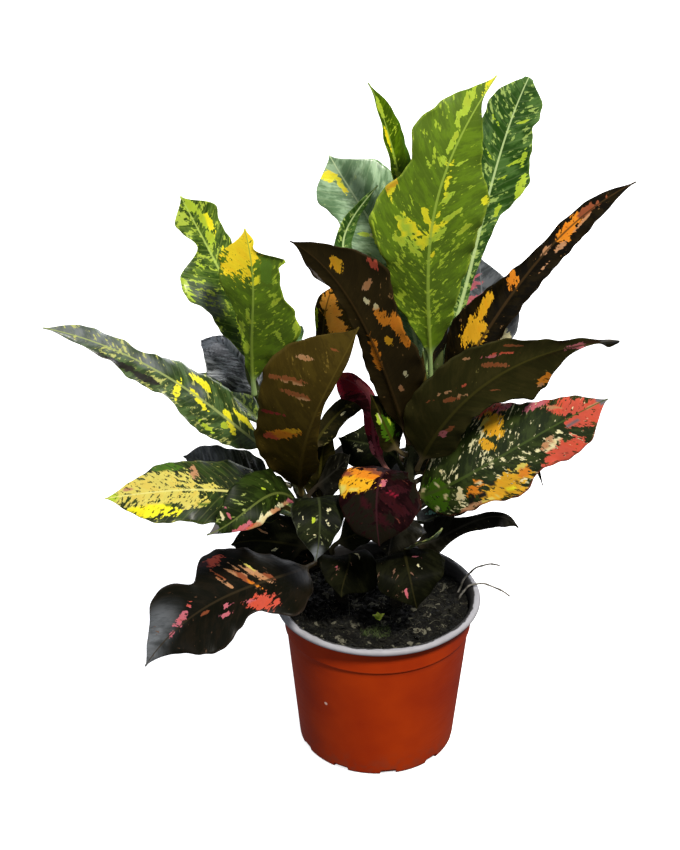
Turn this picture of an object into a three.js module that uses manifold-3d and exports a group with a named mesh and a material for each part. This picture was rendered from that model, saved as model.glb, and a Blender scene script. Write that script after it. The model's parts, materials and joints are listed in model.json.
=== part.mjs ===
// A potted croton: a plastic nursery pot filled with bark soil, three woody stems and their leaves.
// Millimetres, +Z up. The origin is the centre of the pot's flat underside, and the front faces -Y.
import * as THREE from 'three';
import { mergeVertices } from 'three/addons/utils/BufferGeometryUtils.js';
import Module from 'manifold-3d';

const wasm = await Module();
wasm.setup();

// Pot
const POT_HEIGHT = 123;
const RIM_RADIUS = 76;
const BASE_RADIUS = 59;
const WALL = 1.8;
const FLOOR = 2.4;
const LEDGE_Z = 100.5;
const LEDGE_STEP = 1.2;
const SHOULDER_RADIUS = 68;
const NECK_RADIUS = 70.4;
const LIP_DROP = 4.2;
const NOTCHES = 10;
const NOTCH_WIDTH = 12;
const NOTCH_HEIGHT = 3.4;
const NOTCH_DEPTH = 8;
const NOTCH_TURN = -10;
const ROUND_SEGMENTS = 40;

// Soil, stems and leaves
const SOIL_EDGE_Z = 114;
const SOIL_CROWN = 3;
const SOIL_ROUGHNESS = 1.1;
const SEAT_GAP = 0.3;
const STEM_SIDES = 8;
const STEM_RINGS = 10;
const HOLE_RINGS = 4;
const BUD_LENGTH = 14;
const BUD_SHOULDER = 0.4;
const BUD_TIP_RADIUS = 0.7;
const STALK_RADIUS = 1.7;
const STALK_RINGS = 2;
const STALK_TURNS = [30, 90, 150, 210, 270, 330];
const BLADE_THICKNESS = 1;
const BAND_LENGTH = 10;
const LEAST_BANDS = 7;
const LEAST_HALF_WIDTH = 0.6;
const MARGIN_DROOP = 0.12;
const WAVE_LAG = 2.2;

// Each stem follows a quadratic curve from its buried foot to its growing tip.
const STEMS = {
  main: { path: [[15, -5, 78], [9, -6, 200], [39, -5, 312]], radii: [5.2, 3.2] },
  left: { path: [[-13, 0, 78], [-41, 0, 170], [-89, 0, 300]], radii: [4.8, 3] },
  back: { path: [[19, 24, 78], [21, 44, 170], [25, 52, 250]], radii: [4.4, 2.8] },
};

// Each leaf leaves its stem at a share of the stem's length, at a bearing round it (degrees, 0 = +X).
// third, beyond and tip are points of the rib; left and right are half widths at eighths of the
// blade, seen from the stalk; roll turns the blade about the rib from base to tip; fold lifts the
// left and right halves; wave is the margin's height, count and phase; stalk is the bare length.
// The leaves named back are hidden behind the others and are guessed.
const LEAVES = {
  leaf_crown_front: {
    stem: 'main', at: 0.93, bearing: -90, stalk: 30, colour: 'lime',
    third: [30, -30, 386], beyond: [36, -36, 455], tip: [70, -20, 523],
    left: [14, 20, 28, 31, 33, 21, 3], right: [11, 25, 29, 41, 28, 31, 19],
    roll: [0, 0], fold: [10, 10], wave: [2, 3, 0.1],
  },
  leaf_crown_right: {
    stem: 'main', at: 0.96, bearing: 75, stalk: 26, colour: 'green',
    third: [58, 14, 363], beyond: [75, 30, 435], tip: [97, 40, 504],
    left: [6, 7, 9, 11, 12, 17, 18], right: [4, 4, 7, 12, 24, 20, 18],
    roll: [0, 0], fold: [10, 10], wave: [1.5, 3, 0.4],
  },
  leaf_crown_sliver: {
    stem: 'main', at: 0.985, bearing: 185, stalk: 24, colour: 'lime',
    third: [25, 0, 369], beyond: [10, 0, 451], tip: [-10, -6, 514],
    left: [10, 11, 9, 8, 7, 7, 4], right: [8, 10, 12, 12, 13, 12, 9],
    roll: [-45, -45], fold: [20, 20], wave: [0, 1, 0],
  },
  leaf_crown_left: {
    stem: 'main', at: 0.88, bearing: 130, stalk: 24, colour: 'green',
    third: [15, 20, 360], beyond: [-10, 36, 409], tip: [-35, 46, 448],
    left: [9, 14, 20, 23, 21, 19, 22], right: [7, 10, 14, 19, 26, 31, 26],
    roll: [-30, -30], fold: [8, 8], wave: [1, 2, 0],
  },
  leaf_crown_edge: {
    stem: 'main', at: 0.92, bearing: 170, stalk: 18, colour: 'green',
    third: [-6, -4, 363], beyond: [-26, 8, 395], tip: [-3, 14, 438],
    left: [4, 5, 6, 7, 7, 6, 4], right: [4, 5, 6, 7, 7, 6, 4],
    roll: [-60, -60], fold: [10, 10], wave: [0, 1, 0],
  },
  leaf_maroon_raised: {
    stem: 'main', at: 0.74, bearing: -160, stalk: 16, colour: 'maroon',
    third: [5, -30, 314], beyond: [-21, -42, 379], tip: [-60, -38, 419],
    left: [15, 24, 28, 24, 27, 34, 18], right: [9, 11, 12, 9, 8, 7, 11],
    roll: [60, 60], fold: [8, 8], wave: [1, 2, 0],
  },
  leaf_inner_orange: {
    stem: 'left', at: 0.86, bearing: 0, stalk: 22, colour: 'maroon',
    third: [-45, -10, 290], beyond: [-40, -14, 334], tip: [-32, -16, 379],
    left: [10, 10, 9, 7, 6, 7, 8], right: [5, 9, 13, 16, 19, 24, 22],
    roll: [60, 60], fold: [10, 10], wave: [0, 1, 0],
  },
  leaf_olive_front: {
    stem: 'left', at: 0.64, bearing: -75, stalk: 8, colour: 'olive',
    third: [-51, -52, 281], beyond: [-35, -66, 330], tip: [-16, -62, 369],
    left: [8, 13, 10, 7, 4, 4, 4], right: [15, 27, 35, 36, 41, 43, 27],
    roll: [-20, -20], fold: [10, 10], wave: [2, 2, 0],
  },
  leaf_cream_margin: {
    stem: 'left', at: 0.59, bearing: -124, stalk: 12, colour: 'green',
    third: [-73, -52, 239], beyond: [-92, -76, 239], tip: [-117, -88, 228],
    left: [4, 6, 9, 12, 13, 13, 6], right: [9, 15, 17, 19, 20, 18, 10],
    roll: [-45, -45], fold: [10, 10], wave: [1, 2, 0],
  },
  leaf_yellow_block: {
    stem: 'left', at: 0.97, bearing: -110, stalk: 10, colour: 'lime',
    third: [-87, -24, 347], beyond: [-85, -32, 386], tip: [-90, -26, 423],
    left: [8, 16, 28, 34, 21, 22, 11], right: [4, 6, 9, 14, 21, 24, 21],
    roll: [0, 0], fold: [8, 8], wave: [1.5, 2, 0],
  },
  leaf_lime_left: {
    stem: 'left', at: 0.985, bearing: 120, stalk: 14, colour: 'lime',
    third: [-97, 10, 342], beyond: [-115, 18, 385], tip: [-135, 18, 429],
    left: [9, 17, 21, 31, 28, 10, 12], right: [10, 10, 12, 15, 17, 17, 17],
    roll: [0, 0], fold: [10, 10], wave: [1.5, 3, 0],
  },
  leaf_grey_left: {
    stem: 'left', at: 0.88, bearing: 140, stalk: 14, colour: 'grey',
    third: [-92, 25, 289], beyond: [-108, 35, 308], tip: [-128, 44, 310],
    left: [15, 23, 29, 31, 31, 27, 13], right: [10, 14, 15, 16, 15, 13, 9],
    roll: [0, 0], fold: [10, 10], wave: [1.5, 3, 0],
  },
  leaf_long_left: {
    stem: 'left', at: 0.76, bearing: 185, stalk: 14, colour: 'green',
    third: [-108, -14, 278], beyond: [-157, -26, 323], tip: [-226, -30, 354],
    left: [15, 21, 24, 15, 16, 11, 5], right: [15, 21, 19, 17, 8, 11, 10],
    roll: [-30, -30], fold: [8, 8], wave: [1.5, 3, 0],
  },
  leaf_black_left: {
    stem: 'left', at: 0.66, bearing: 165, stalk: 14, colour: 'grey',
    third: [-80, 4, 219], beyond: [-110, 10, 225], tip: [-141, 14, 232],
    left: [17, 20, 19, 16, 14, 11, 8], right: [11, 14, 16, 15, 14, 13, 10],
    roll: [-45, -45], fold: [8, 8], wave: [1, 4, 0],
  },
  leaf_pale_yellow: {
    stem: 'left', at: 0.56, bearing: -160, stalk: 20, colour: 'yellow',
    third: [-95, -30, 226], beyond: [-139, -44, 237], tip: [-190, -50, 234],
    left: [17, 23, 28, 27, 24, 25, 14], right: [17, 23, 26, 25, 23, 21, 10],
    roll: [-30, -30], fold: [6, 6], wave: [1.5, 3, 0],
  },
  leaf_coral_low: {
    stem: 'left', at: 0.4, bearing: -135, stalk: 22, colour: 'maroon',
    third: [-72, -46, 167], beyond: [-118, -68, 159], tip: [-164, -90, 122],
    left: [22, 34, 22, 26, 35, 27, 10], right: [19, 28, 37, 38, 24, 31, 14],
    roll: [-20, -20], fold: [6, 6], wave: [1.5, 3, 0],
  },
  leaf_green_low: {
    stem: 'left', at: 0.46, bearing: 205, stalk: 8, colour: 'green',
    third: [-57, 2, 163], beyond: [-80, 4, 166], tip: [-108, 6, 162],
    left: [14, 20, 21, 21, 20, 17, 10], right: [22, 26, 25, 23, 20, 15, 8],
    roll: [-30, -30], fold: [8, 8], wave: [1, 2, 0],
  },
  leaf_red_arch: {
    stem: 'main', at: 0.58, bearing: 138, stalk: 20, colour: 'maroon',
    third: [-4, 2, 254], beyond: [-7, 2, 283], tip: [-33, -2, 306],
    left: [4, 5, 6, 7, 11, 14, 13], right: [4, 5, 5, 5, 5, 6, 6],
    roll: [-60, -60], fold: [10, 10], wave: [0, 1, 0],
  },
  leaf_red_inner: {
    stem: 'left', at: 0.72, bearing: 10, stalk: 14, colour: 'maroon',
    third: [-44, 6, 250], beyond: [-28, 10, 270], tip: [-5, 12, 280],
    left: [4, 5, 7, 8, 8, 7, 4], right: [6, 9, 10, 9, 8, 8, 6],
    roll: [45, 45], fold: [10, 10], wave: [0, 1, 0],
  },
  leaf_olive_inner: {
    stem: 'main', at: 0.7, bearing: -175, stalk: 10, colour: 'olive',
    third: [10, -14, 257], beyond: [1, -20, 280], tip: [-7, -24, 301],
    left: [9, 10, 9, 8, 7, 6, 4], right: [10, 13, 13, 11, 10, 10, 7],
    roll: [-60, -60], fold: [10, 10], wave: [0, 1, 0],
  },
  leaf_necked_right: {
    stem: 'main', at: 0.66, bearing: -45, stalk: 12, colour: 'olive',
    third: [54, -42, 303], beyond: [99, -44, 338], tip: [158, -36, 347],
    left: [17, 15, 13, 18, 30, 18, 1], right: [20, 29, 29, 28, 22, 11, 5],
    roll: [-60, -60], fold: [8, 8], wave: [1.5, 2, 0],
  },
  leaf_orange_raised: {
    stem: 'main', at: 0.84, bearing: 10, stalk: 16, colour: 'maroon',
    third: [68, -10, 335], beyond: [109, -4, 397], tip: [167, 2, 445],
    left: [15, 25, 20, 11, 6, 7, 6], right: [8, 10, 11, 12, 12, 11, 7],
    roll: [45, 45], fold: [8, 8], wave: [1, 2, 0],
  },
  leaf_pink_back: {
    stem: 'main', at: 0.9, bearing: 45, stalk: 16, colour: 'grey',
    third: [66, 26, 323], beyond: [72, 38, 347], tip: [70, 46, 374],
    left: [9, 15, 20, 23, 25, 22, 17], right: [8, 14, 23, 29, 27, 19, 15],
    roll: [20, 20], fold: [8, 8], wave: [1, 2, 0],
  },
  leaf_red_yellow_right: {
    stem: 'main', at: 0.56, bearing: -15, stalk: 4, colour: 'yellow',
    third: [56, -32, 239], beyond: [102, -42, 276], tip: [152, -44, 308],
    left: [22, 28, 33, 36, 31, 20, 13], right: [17, 23, 25, 31, 23, 25, 20],
    roll: [55, 55], fold: [6, 6], wave: [1.5, 3, 0],
  },
  leaf_black_right: {
    stem: 'main', at: 0.4, bearing: -8, stalk: 6, colour: 'maroon',
    third: [44, -18, 183], beyond: [73, -22, 201], tip: [99, -24, 195],
    left: [14, 15, 13, 7, 4, 4, 3], right: [14, 10, 6, 6, 8, 8, 7],
    roll: [45, 45], fold: [10, 10], wave: [0, 1, 0],
  },
  leaf_soil_right: {
    stem: 'main', at: 0.36, bearing: -75, stalk: 12, colour: 'olive',
    third: [18, -35, 179], beyond: [21, -55, 173], tip: [26, -64, 153],
    left: [11, 23, 28, 27, 25, 20, 13], right: [12, 16, 21, 23, 23, 21, 9],
    roll: [0, 0], fold: [6, 6], wave: [1, 2, 0],
  },
  leaf_soil_left: {
    stem: 'left', at: 0.36, bearing: -60, stalk: 10, colour: 'olive',
    third: [-21, -28, 174], beyond: [-24, -44, 168], tip: [-27, -54, 156],
    left: [15, 15, 14, 18, 23, 25, 19], right: [16, 21, 24, 23, 23, 20, 12],
    roll: [0, 0], fold: [6, 6], wave: [1, 2, 0],
  },
  leaf_speckled_front: {
    stem: 'left', at: 0.54, bearing: -75, stalk: 20, colour: 'olive',
    third: [-43, -40, 228], beyond: [-42, -62, 218], tip: [-45, -76, 200],
    left: [15, 18, 17, 18, 17, 13, 8], right: [9, 14, 17, 19, 20, 17, 10],
    roll: [0, 0], fold: [8, 8], wave: [1, 2, 0],
  },
  leaf_banded_front: {
    stem: 'main', at: 0.62, bearing: -115, stalk: 10, colour: 'maroon',
    third: [2, -38, 247], beyond: [-3, -62, 236], tip: [-1, -76, 212],
    left: [9, 15, 21, 27, 31, 31, 21], right: [14, 17, 23, 28, 27, 24, 17],
    roll: [0, 0], fold: [8, 8], wave: [1, 2, 0],
  },
  leaf_small_pale: {
    stem: 'main', at: 0.38, bearing: -55, stalk: 16, colour: 'green',
    third: [24, -34, 186], beyond: [35, -48, 200], tip: [43, -50, 210],
    left: [4, 6, 7, 7, 7, 6, 4], right: [4, 6, 7, 7, 7, 6, 4],
    roll: [0, 0], fold: [10, 10], wave: [0, 1, 0],
  },
  leaf_dark_inner: {
    stem: 'back', at: 0.72, bearing: 200, stalk: 12, colour: 'maroon',
    third: [8, 30, 227], beyond: [-6, 32, 232], tip: [-29, 31, 238],
    left: [10, 16, 20, 22, 22, 19, 13], right: [8, 15, 22, 23, 17, 10, 5],
    roll: [-60, -60], fold: [10, 10], wave: [1, 2, 0],
  },
  leaf_back_01: {
    stem: 'main', at: 0.8, bearing: 70, stalk: 16, colour: 'olive',
    third: [39, 40, 310], beyond: [59, 80, 318], tip: [81, 112, 296],
    left: [9, 15, 19, 20, 18, 14, 8], right: [9, 15, 19, 20, 18, 14, 8],
    roll: [0, 0], fold: [12, 12], wave: [1.5, 3, 0.2],
  },
  leaf_back_02: {
    stem: 'main', at: 0.6, bearing: 25, stalk: 16, colour: 'maroon',
    third: [55, 18, 232], beyond: [91, 38, 236], tip: [124, 45, 190],
    left: [5, 8, 9, 9, 8, 6, 4], right: [5, 8, 9, 9, 8, 6, 4],
    roll: [0, 0], fold: [12, 12], wave: [1.5, 3, 0.2],
  },
  leaf_back_03: {
    stem: 'main', at: 0.48, bearing: 40, stalk: 16, colour: 'maroon',
    third: [53, 34, 205], beyond: [73, 70, 200], tip: [77, 100, 172],
    left: [9, 15, 19, 20, 18, 14, 8], right: [9, 15, 19, 20, 18, 14, 8],
    roll: [0, 0], fold: [12, 12], wave: [1.5, 3, 0.2],
  },
  leaf_back_04: {
    stem: 'main', at: 0.94, bearing: 100, stalk: 16, colour: 'green',
    third: [25, 40, 352], beyond: [19, 82, 386], tip: [17, 110, 392],
    left: [9, 15, 19, 20, 18, 14, 8], right: [9, 15, 19, 20, 18, 14, 8],
    roll: [0, 0], fold: [12, 12], wave: [1.5, 3, 0.2],
  },
  leaf_back_05: {
    stem: 'main', at: 0.83, bearing: 165, stalk: 16, colour: 'green',
    third: [-1, 34, 306], beyond: [-17, 68, 336], tip: [-29, 90, 350],
    left: [9, 15, 19, 20, 18, 14, 8], right: [9, 15, 19, 20, 18, 14, 8],
    roll: [0, 0], fold: [12, 12], wave: [1.5, 3, 0.2],
  },
  leaf_back_06: {
    stem: 'back', at: 0.98, bearing: 90, stalk: 16, colour: 'green',
    third: [31, 85, 300], beyond: [35, 120, 320], tip: [37, 148, 310],
    left: [9, 15, 19, 20, 18, 14, 8], right: [9, 15, 19, 20, 18, 14, 8],
    roll: [0, 0], fold: [12, 12], wave: [1.5, 3, 0.2],
  },
  leaf_back_07: {
    stem: 'back', at: 0.88, bearing: 35, stalk: 16, colour: 'olive',
    third: [57, 80, 250], beyond: [87, 104, 262], tip: [111, 118, 250],
    left: [9, 15, 19, 20, 18, 14, 8], right: [9, 15, 19, 20, 18, 14, 8],
    roll: [0, 0], fold: [12, 12], wave: [1.5, 3, 0.2],
  },
  leaf_back_08: {
    stem: 'back', at: 0.75, bearing: 145, stalk: 16, colour: 'maroon',
    third: [-5, 82, 200], beyond: [-35, 108, 180], tip: [-63, 120, 150],
    left: [9, 15, 19, 20, 18, 14, 8], right: [9, 15, 19, 20, 18, 14, 8],
    roll: [0, 0], fold: [12, 12], wave: [1.5, 3, 0.2],
  },
  leaf_back_09: {
    stem: 'back', at: 0.6, bearing: 100, stalk: 16, colour: 'maroon',
    third: [11, 84, 180], beyond: [5, 120, 176], tip: [-3, 146, 150],
    left: [9, 15, 19, 20, 18, 14, 8], right: [9, 15, 19, 20, 18, 14, 8],
    roll: [0, 0], fold: [12, 12], wave: [1.5, 3, 0.2],
  },
  leaf_back_10: {
    stem: 'back', at: 0.5, bearing: 40, stalk: 16, colour: 'maroon',
    third: [45, 72, 165], beyond: [59, 96, 160], tip: [69, 112, 135],
    left: [9, 15, 19, 20, 18, 14, 8], right: [9, 15, 19, 20, 18, 14, 8],
    roll: [0, 0], fold: [12, 12], wave: [1.5, 3, 0.2],
  },
  leaf_back_11: {
    stem: 'left', at: 0.93, bearing: 60, stalk: 16, colour: 'green',
    third: [-71, 36, 302], beyond: [-69, 72, 308], tip: [-69, 102, 292],
    left: [7, 12, 15, 15, 13, 10, 6], right: [7, 12, 15, 15, 13, 10, 6],
    roll: [0, 0], fold: [12, 12], wave: [1.5, 3, 0.2],
  },
  leaf_back_12: {
    stem: 'left', at: 0.78, bearing: 95, stalk: 16, colour: 'olive',
    third: [-69, 42, 250], beyond: [-75, 80, 256], tip: [-81, 108, 240],
    left: [9, 15, 19, 20, 18, 14, 8], right: [9, 15, 19, 20, 18, 14, 8],
    roll: [0, 0], fold: [12, 12], wave: [1.5, 3, 0.2],
  },
  leaf_back_13: {
    stem: 'left', at: 0.6, bearing: 95, stalk: 16, colour: 'maroon',
    third: [-59, 40, 205], beyond: [-67, 78, 205], tip: [-73, 106, 180],
    left: [9, 15, 19, 20, 18, 14, 8], right: [9, 15, 19, 20, 18, 14, 8],
    roll: [0, 0], fold: [12, 12], wave: [1.5, 3, 0.2],
  },
  leaf_back_14: {
    stem: 'left', at: 0.48, bearing: 140, stalk: 16, colour: 'olive',
    third: [-75, 34, 182], beyond: [-101, 58, 180], tip: [-125, 76, 158],
    left: [8, 13, 16, 17, 15, 12, 7], right: [8, 13, 16, 17, 15, 12, 7],
    roll: [0, 0], fold: [12, 12], wave: [1.5, 3, 0.2],
  },
  leaf_back_15: {
    stem: 'left', at: 0.8, bearing: 150, stalk: 16, colour: 'green',
    third: [-101, 34, 266], beyond: [-131, 52, 276], tip: [-155, 60, 268],
    left: [7, 12, 14, 14, 12, 9, 5], right: [7, 12, 14, 14, 12, 9, 5],
    roll: [0, 0], fold: [12, 12], wave: [1.5, 3, 0.2],
  },
  leaf_maroon_middle: {
    stem: 'main', at: 0.5, bearing: -100, stalk: 8, colour: 'maroon',
    third: [13, -26, 201], beyond: [9, -42, 200], tip: [6, -50, 188],
    left: [12, 18, 22, 22, 20, 15, 8], right: [8, 13, 16, 17, 16, 13, 8],
    roll: [0, 0], fold: [8, 8], wave: [1, 2, 0],
  },
  leaf_dark_middle: {
    stem: 'left', at: 0.6, bearing: 15, stalk: 12, colour: 'green',
    third: [-48, 4, 209], beyond: [-35, 0, 224], tip: [-21, -4, 243],
    left: [8, 14, 18, 18, 16, 12, 7], right: [10, 18, 22, 22, 20, 15, 9],
    roll: [0, 0], fold: [8, 8], wave: [1, 2, 0],
  },
  leaf_dark_low: {
    stem: 'left', at: 0.4, bearing: -10, stalk: 13, colour: 'olive',
    third: [-31, -6, 170], beyond: [-19, -8, 178], tip: [-2, -10, 190],
    left: [9, 16, 19, 19, 16, 11, 7], right: [8, 10, 12, 12, 12, 10, 6],
    roll: [30, 30], fold: [8, 8], wave: [1, 2, 0],
  },
  leaf_green_middle: {
    stem: 'main', at: 0.46, bearing: 20, stalk: 10, colour: 'green',
    third: [38, 12, 180], beyond: [53, 16, 185], tip: [72, 20, 188],
    left: [8, 14, 18, 20, 18, 13, 7], right: [6, 8, 9, 10, 9, 8, 5],
    roll: [0, 0], fold: [8, 8], wave: [1, 2, 0],
  },
  leaf_olive_middle: {
    stem: 'main', at: 0.6, bearing: 80, stalk: 14, colour: 'olive',
    third: [29, 24, 216], beyond: [34, 30, 222], tip: [39, 36, 234],
    left: [8, 10, 12, 12, 11, 8, 5], right: [8, 10, 12, 12, 11, 8, 5],
    roll: [0, 0], fold: [8, 8], wave: [1, 2, 0],
  },
  leaf_dark_upright: {
    stem: 'left', at: 0.5, bearing: 90, stalk: 14, colour: 'green',
    third: [-43, 16, 197], beyond: [-42, 18, 224], tip: [-35, 20, 254],
    left: [8, 12, 14, 14, 13, 10, 6], right: [8, 11, 12, 11, 10, 8, 5],
    roll: [0, 0], fold: [8, 8], wave: [1, 2, 0],
  },
  leaf_dark_side: {
    stem: 'left', at: 0.3, bearing: 190, stalk: 12, colour: 'green',
    third: [-44, 14, 141], beyond: [-59, 18, 145], tip: [-75, 20, 148],
    left: [10, 16, 19, 19, 17, 13, 7], right: [10, 16, 19, 19, 17, 13, 7],
    roll: [-30, -30], fold: [8, 8], wave: [1, 2, 0],
  },
};

// Thin dry stalks that lie over the rim: foot in the soil, bend and free end.
const DRY_STALKS = {
  dry_stalk_upper: [[60, 16, 108], [67, 20, 141], [93, 30, 129]],
  dry_stalk_lower: [[60, 7, 108], [67, 9, 141], [99, 6, 117]],
};
const DRY_STALK_RADIUS = 0.8;
const DRY_STALK_SIDES = 6;

const COLOURS = {
  pot: 0x9a2a0c,
  soil: 0x241a14,
  stem: 0x6f6a4a,
  dry_stalk: 0xb8ab8c,
};
const LEAF_COLOURS = {
  lime: 0x6f8f2a,
  green: 0x2f5424,
  olive: 0x3d3516,
  maroon: 0x2b1512,
  yellow: 0xcdbb5a,
  grey: 0x4b4f52,
};

const vector = (values) => new THREE.Vector3(...values);
const radians = THREE.MathUtils.degToRad;
const lerp = THREE.MathUtils.lerp;

// A closed skin through rings of equal length. topCount points of each ring are its upper face, and
// the lower face is cut along the same diagonals.
function loft(rings, topCount) {
  const size = rings[0].length;
  const positions = rings.flat().flatMap((point) => point.toArray());
  const triangles = [];
  for (let i = 0; i + 1 < rings.length; i += 1) {
    for (let j = 0; j < size; j += 1) {
      const a = i * size + j;
      const b = i * size + (j + 1) % size;
      if (j < topCount) triangles.push(a, b, a + size, b, b + size, a + size);
      else triangles.push(a, b + size, a + size, a, b, b + size);
    }
  }
  const last = (rings.length - 1) * size;
  for (let j = 0; j + 1 < size / 2; j += 1) {
    const k = size - 1 - j;
    triangles.push(j, k, j + 1, j + 1, k, k - 1);
    triangles.push(last + j, last + j + 1, last + k, last + j + 1, last + k - 1, last + k);
  }
  const geometry = new THREE.BufferGeometry();
  geometry.setAttribute('position', new THREE.Float32BufferAttribute(positions, 3));
  geometry.setIndex(triangles);
  return geometry;
}

// Turned bodies: the profile is radius and height, and the lathe's own Y axis becomes +Z.
function turned(profile) {
  const points = profile.map(([radius, height]) => new THREE.Vector2(radius, height));
  return new THREE.LatheGeometry(points, ROUND_SEGMENTS).rotateX(Math.PI / 2);
}

function toSolid(geometry) {
  const bare = geometry.clone();
  bare.deleteAttribute('normal');
  bare.deleteAttribute('uv');
  const merged = mergeVertices(bare, 1e-3);
  return new wasm.Manifold(new wasm.Mesh({
    numProp: 3,
    vertProperties: new Float32Array(merged.attributes.position.array),
    triVerts: new Uint32Array(merged.index.array),
  }));
}

function toGeometry(solid) {
  const mesh = solid.getMesh();
  const geometry = new THREE.BufferGeometry();
  geometry.setAttribute('position', new THREE.BufferAttribute(mesh.vertProperties, 3));
  geometry.setIndex(new THREE.BufferAttribute(mesh.triVerts, 1));
  return geometry;
}

function stemCurve(stem) {
  return new THREE.QuadraticBezierCurve3(...stem.path.map(vector));
}

// A round stalk along a curve. Each station is the share of the curve, the radius and the
// millimetres that the ring lies past that point.
function roundStalk(curve, stations, sides) {
  const rings = stations.map(([share, radius, past]) => {
    const along = curve.getTangent(share);
    const centre = curve.getPoint(share).addScaledVector(along, past);
    const across = new THREE.Vector3(0, 1, 0).addScaledVector(along, -along.y).normalize();
    const out = new THREE.Vector3().crossVectors(across, along);
    return Array.from({ length: sides }, (_, j) => {
      const turn = (2 * Math.PI * j) / sides;
      return centre.clone()
        .addScaledVector(out, radius * Math.cos(turn))
        .addScaledVector(across, radius * Math.sin(turn));
    });
  });
  return loft(rings, sides);
}

function stemStations(stem, count, grow) {
  return Array.from({ length: count }, (_, i) => {
    const share = i / (STEM_RINGS - 1);
    return [share, lerp(stem.radii[0], stem.radii[1], share) + grow, 0];
  });
}

// A stem ends in a pointed bud.
function stemGeometry(stem) {
  const stations = stemStations(stem, STEM_RINGS, 0);
  stations.push([1, stem.radii[1] * 0.9, BUD_LENGTH * BUD_SHOULDER], [1, BUD_TIP_RADIUS, BUD_LENGTH]);
  return roundStalk(stemCurve(stem), stations, STEM_SIDES);
}

// The plain hole that a stem stands in.
function stemHole(stem) {
  const stations = [[0, stem.radii[0] + SEAT_GAP, -SEAT_GAP], ...stemStations(stem, HOLE_RINGS, SEAT_GAP)];
  return toSolid(roundStalk(stemCurve(stem), stations, STEM_SIDES));
}

// Where a leaf's stalk meets its stem, clear of the bark by the seat gap.
function leafRoot(leaf) {
  const stem = STEMS[leaf.stem];
  const curve = stemCurve(stem);
  const axis = curve.getPoint(leaf.at);
  const along = curve.getTangent(leaf.at);
  const bearing = radians(leaf.bearing);
  const out = new THREE.Vector3(Math.cos(bearing), Math.sin(bearing), 0);
  out.addScaledVector(along, -out.dot(along)).normalize();
  const lean = vector(leaf.third).sub(axis).normalize();
  const sine = Math.sqrt(1 - lean.dot(out) ** 2);
  const radius = lerp(stem.radii[0], stem.radii[1], leaf.at);
  return axis.addScaledVector(out, radius + SEAT_GAP + STALK_RADIUS * sine);
}

// The rib is the cubic curve that passes through the root, third, beyond and tip in even steps.
function ribCurve(leaf) {
  const root = leafRoot(leaf);
  const [third, beyond, tip] = [leaf.third, leaf.beyond, leaf.tip].map(vector);
  const handle = (a, b, c, d) => new THREE.Vector3()
    .addScaledVector(a, -5 / 6).addScaledVector(b, 3)
    .addScaledVector(c, -1.5).addScaledVector(d, 1 / 3);
  return new THREE.CubicBezierCurve3(root, handle(root, third, beyond, tip),
    handle(tip, beyond, third, root), tip);
}

// Half width of one side of the blade, smooth through the stalk, the seven widths and the tip.
function halfWidth(widths, share) {
  const knots = [STALK_RADIUS, ...widths, 0];
  const x = Math.min(Math.max(share, 0), 1) * (knots.length - 1);
  const i = Math.min(Math.floor(x), knots.length - 2);
  const at = (k) => knots[Math.min(Math.max(k, 0), knots.length - 1)];
  const [a, b, c, d] = [at(i - 1), at(i), at(i + 1), at(i + 2)];
  const f = x - i;
  const value = b + 0.5 * f * (c - a + f * (2 * a - 5 * b + 4 * c - d + f * (3 * b - 3 * c + d - a)));
  return Math.max(value, LEAST_HALF_WIDTH);
}

// The height and sideways place of a blade's margin beside the rib.
function margin(leaf, share, sign, widths, fold, lag) {
  const width = halfWidth(widths, share);
  const [height, count, phase] = leaf.wave;
  const ease = Math.min(1, 6 * share) * Math.min(1, 5 * (1 - share));
  const ripple = height * ease * Math.sin(2 * Math.PI * (count * share + phase) + lag);
  const lift = width * (Math.sin(radians(fold)) - MARGIN_DROOP) + ripple;
  return [sign * width * Math.cos(radians(fold)), lift];
}

// A leaf is a bare round stalk that widens into a thin folded blade with a waved margin.
function leafGeometry(leaf) {
  const rib = ribCurve(leaf);
  const length = rib.getLength();
  const bands = Math.max(LEAST_BANDS, Math.round((length - leaf.stalk) / BAND_LENGTH));
  const bearing = radians(leaf.bearing);
  const level = new THREE.Vector3(-Math.sin(bearing), Math.cos(bearing), 0);
  const half = BLADE_THICKNESS / 2;
  const rings = [];
  for (let i = -STALK_RINGS; i <= bands; i += 1) {
    const share = Math.max(i, 0) / bands;
    const distance = leaf.stalk * (1 + Math.min(i, 0) / STALK_RINGS) + share * (length - leaf.stalk);
    const along = rib.getTangentAt(distance / length);
    const centre = rib.getPointAt(distance / length);
    const flat = level.clone().addScaledVector(along, -level.dot(along)).normalize();
    const up = new THREE.Vector3().crossVectors(along, flat);
    const roll = radians(lerp(leaf.roll[0], leaf.roll[1], share));
    const side = flat.clone().multiplyScalar(Math.cos(roll)).addScaledVector(up, Math.sin(roll));
    const normal = up.multiplyScalar(Math.cos(roll)).addScaledVector(flat, -Math.sin(roll));
    const place = ([sideways, upward]) => centre.clone()
      .addScaledVector(side, sideways).addScaledVector(normal, upward);
    if (i < 0) {
      const round = (turn) => [STALK_RADIUS * Math.cos(turn), STALK_RADIUS * Math.sin(turn)];
      rings.push(STALK_TURNS.map(radians).map(round).map(place));
    } else {
      const left = margin(leaf, share, 1, leaf.left, leaf.fold[0], 0);
      const right = margin(leaf, share, -1, leaf.right, leaf.fold[1], WAVE_LAG);
      const outline = [left, [0, 0], right];
      const top = outline.map(([sideways, lift]) => place([sideways, lift + half]));
      const bottom = outline.map(([sideways, lift]) => place([sideways, lift - half]));
      rings.push([...top, ...bottom.reverse()]);
    }
  }
  return loft(rings, 3);
}

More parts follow.
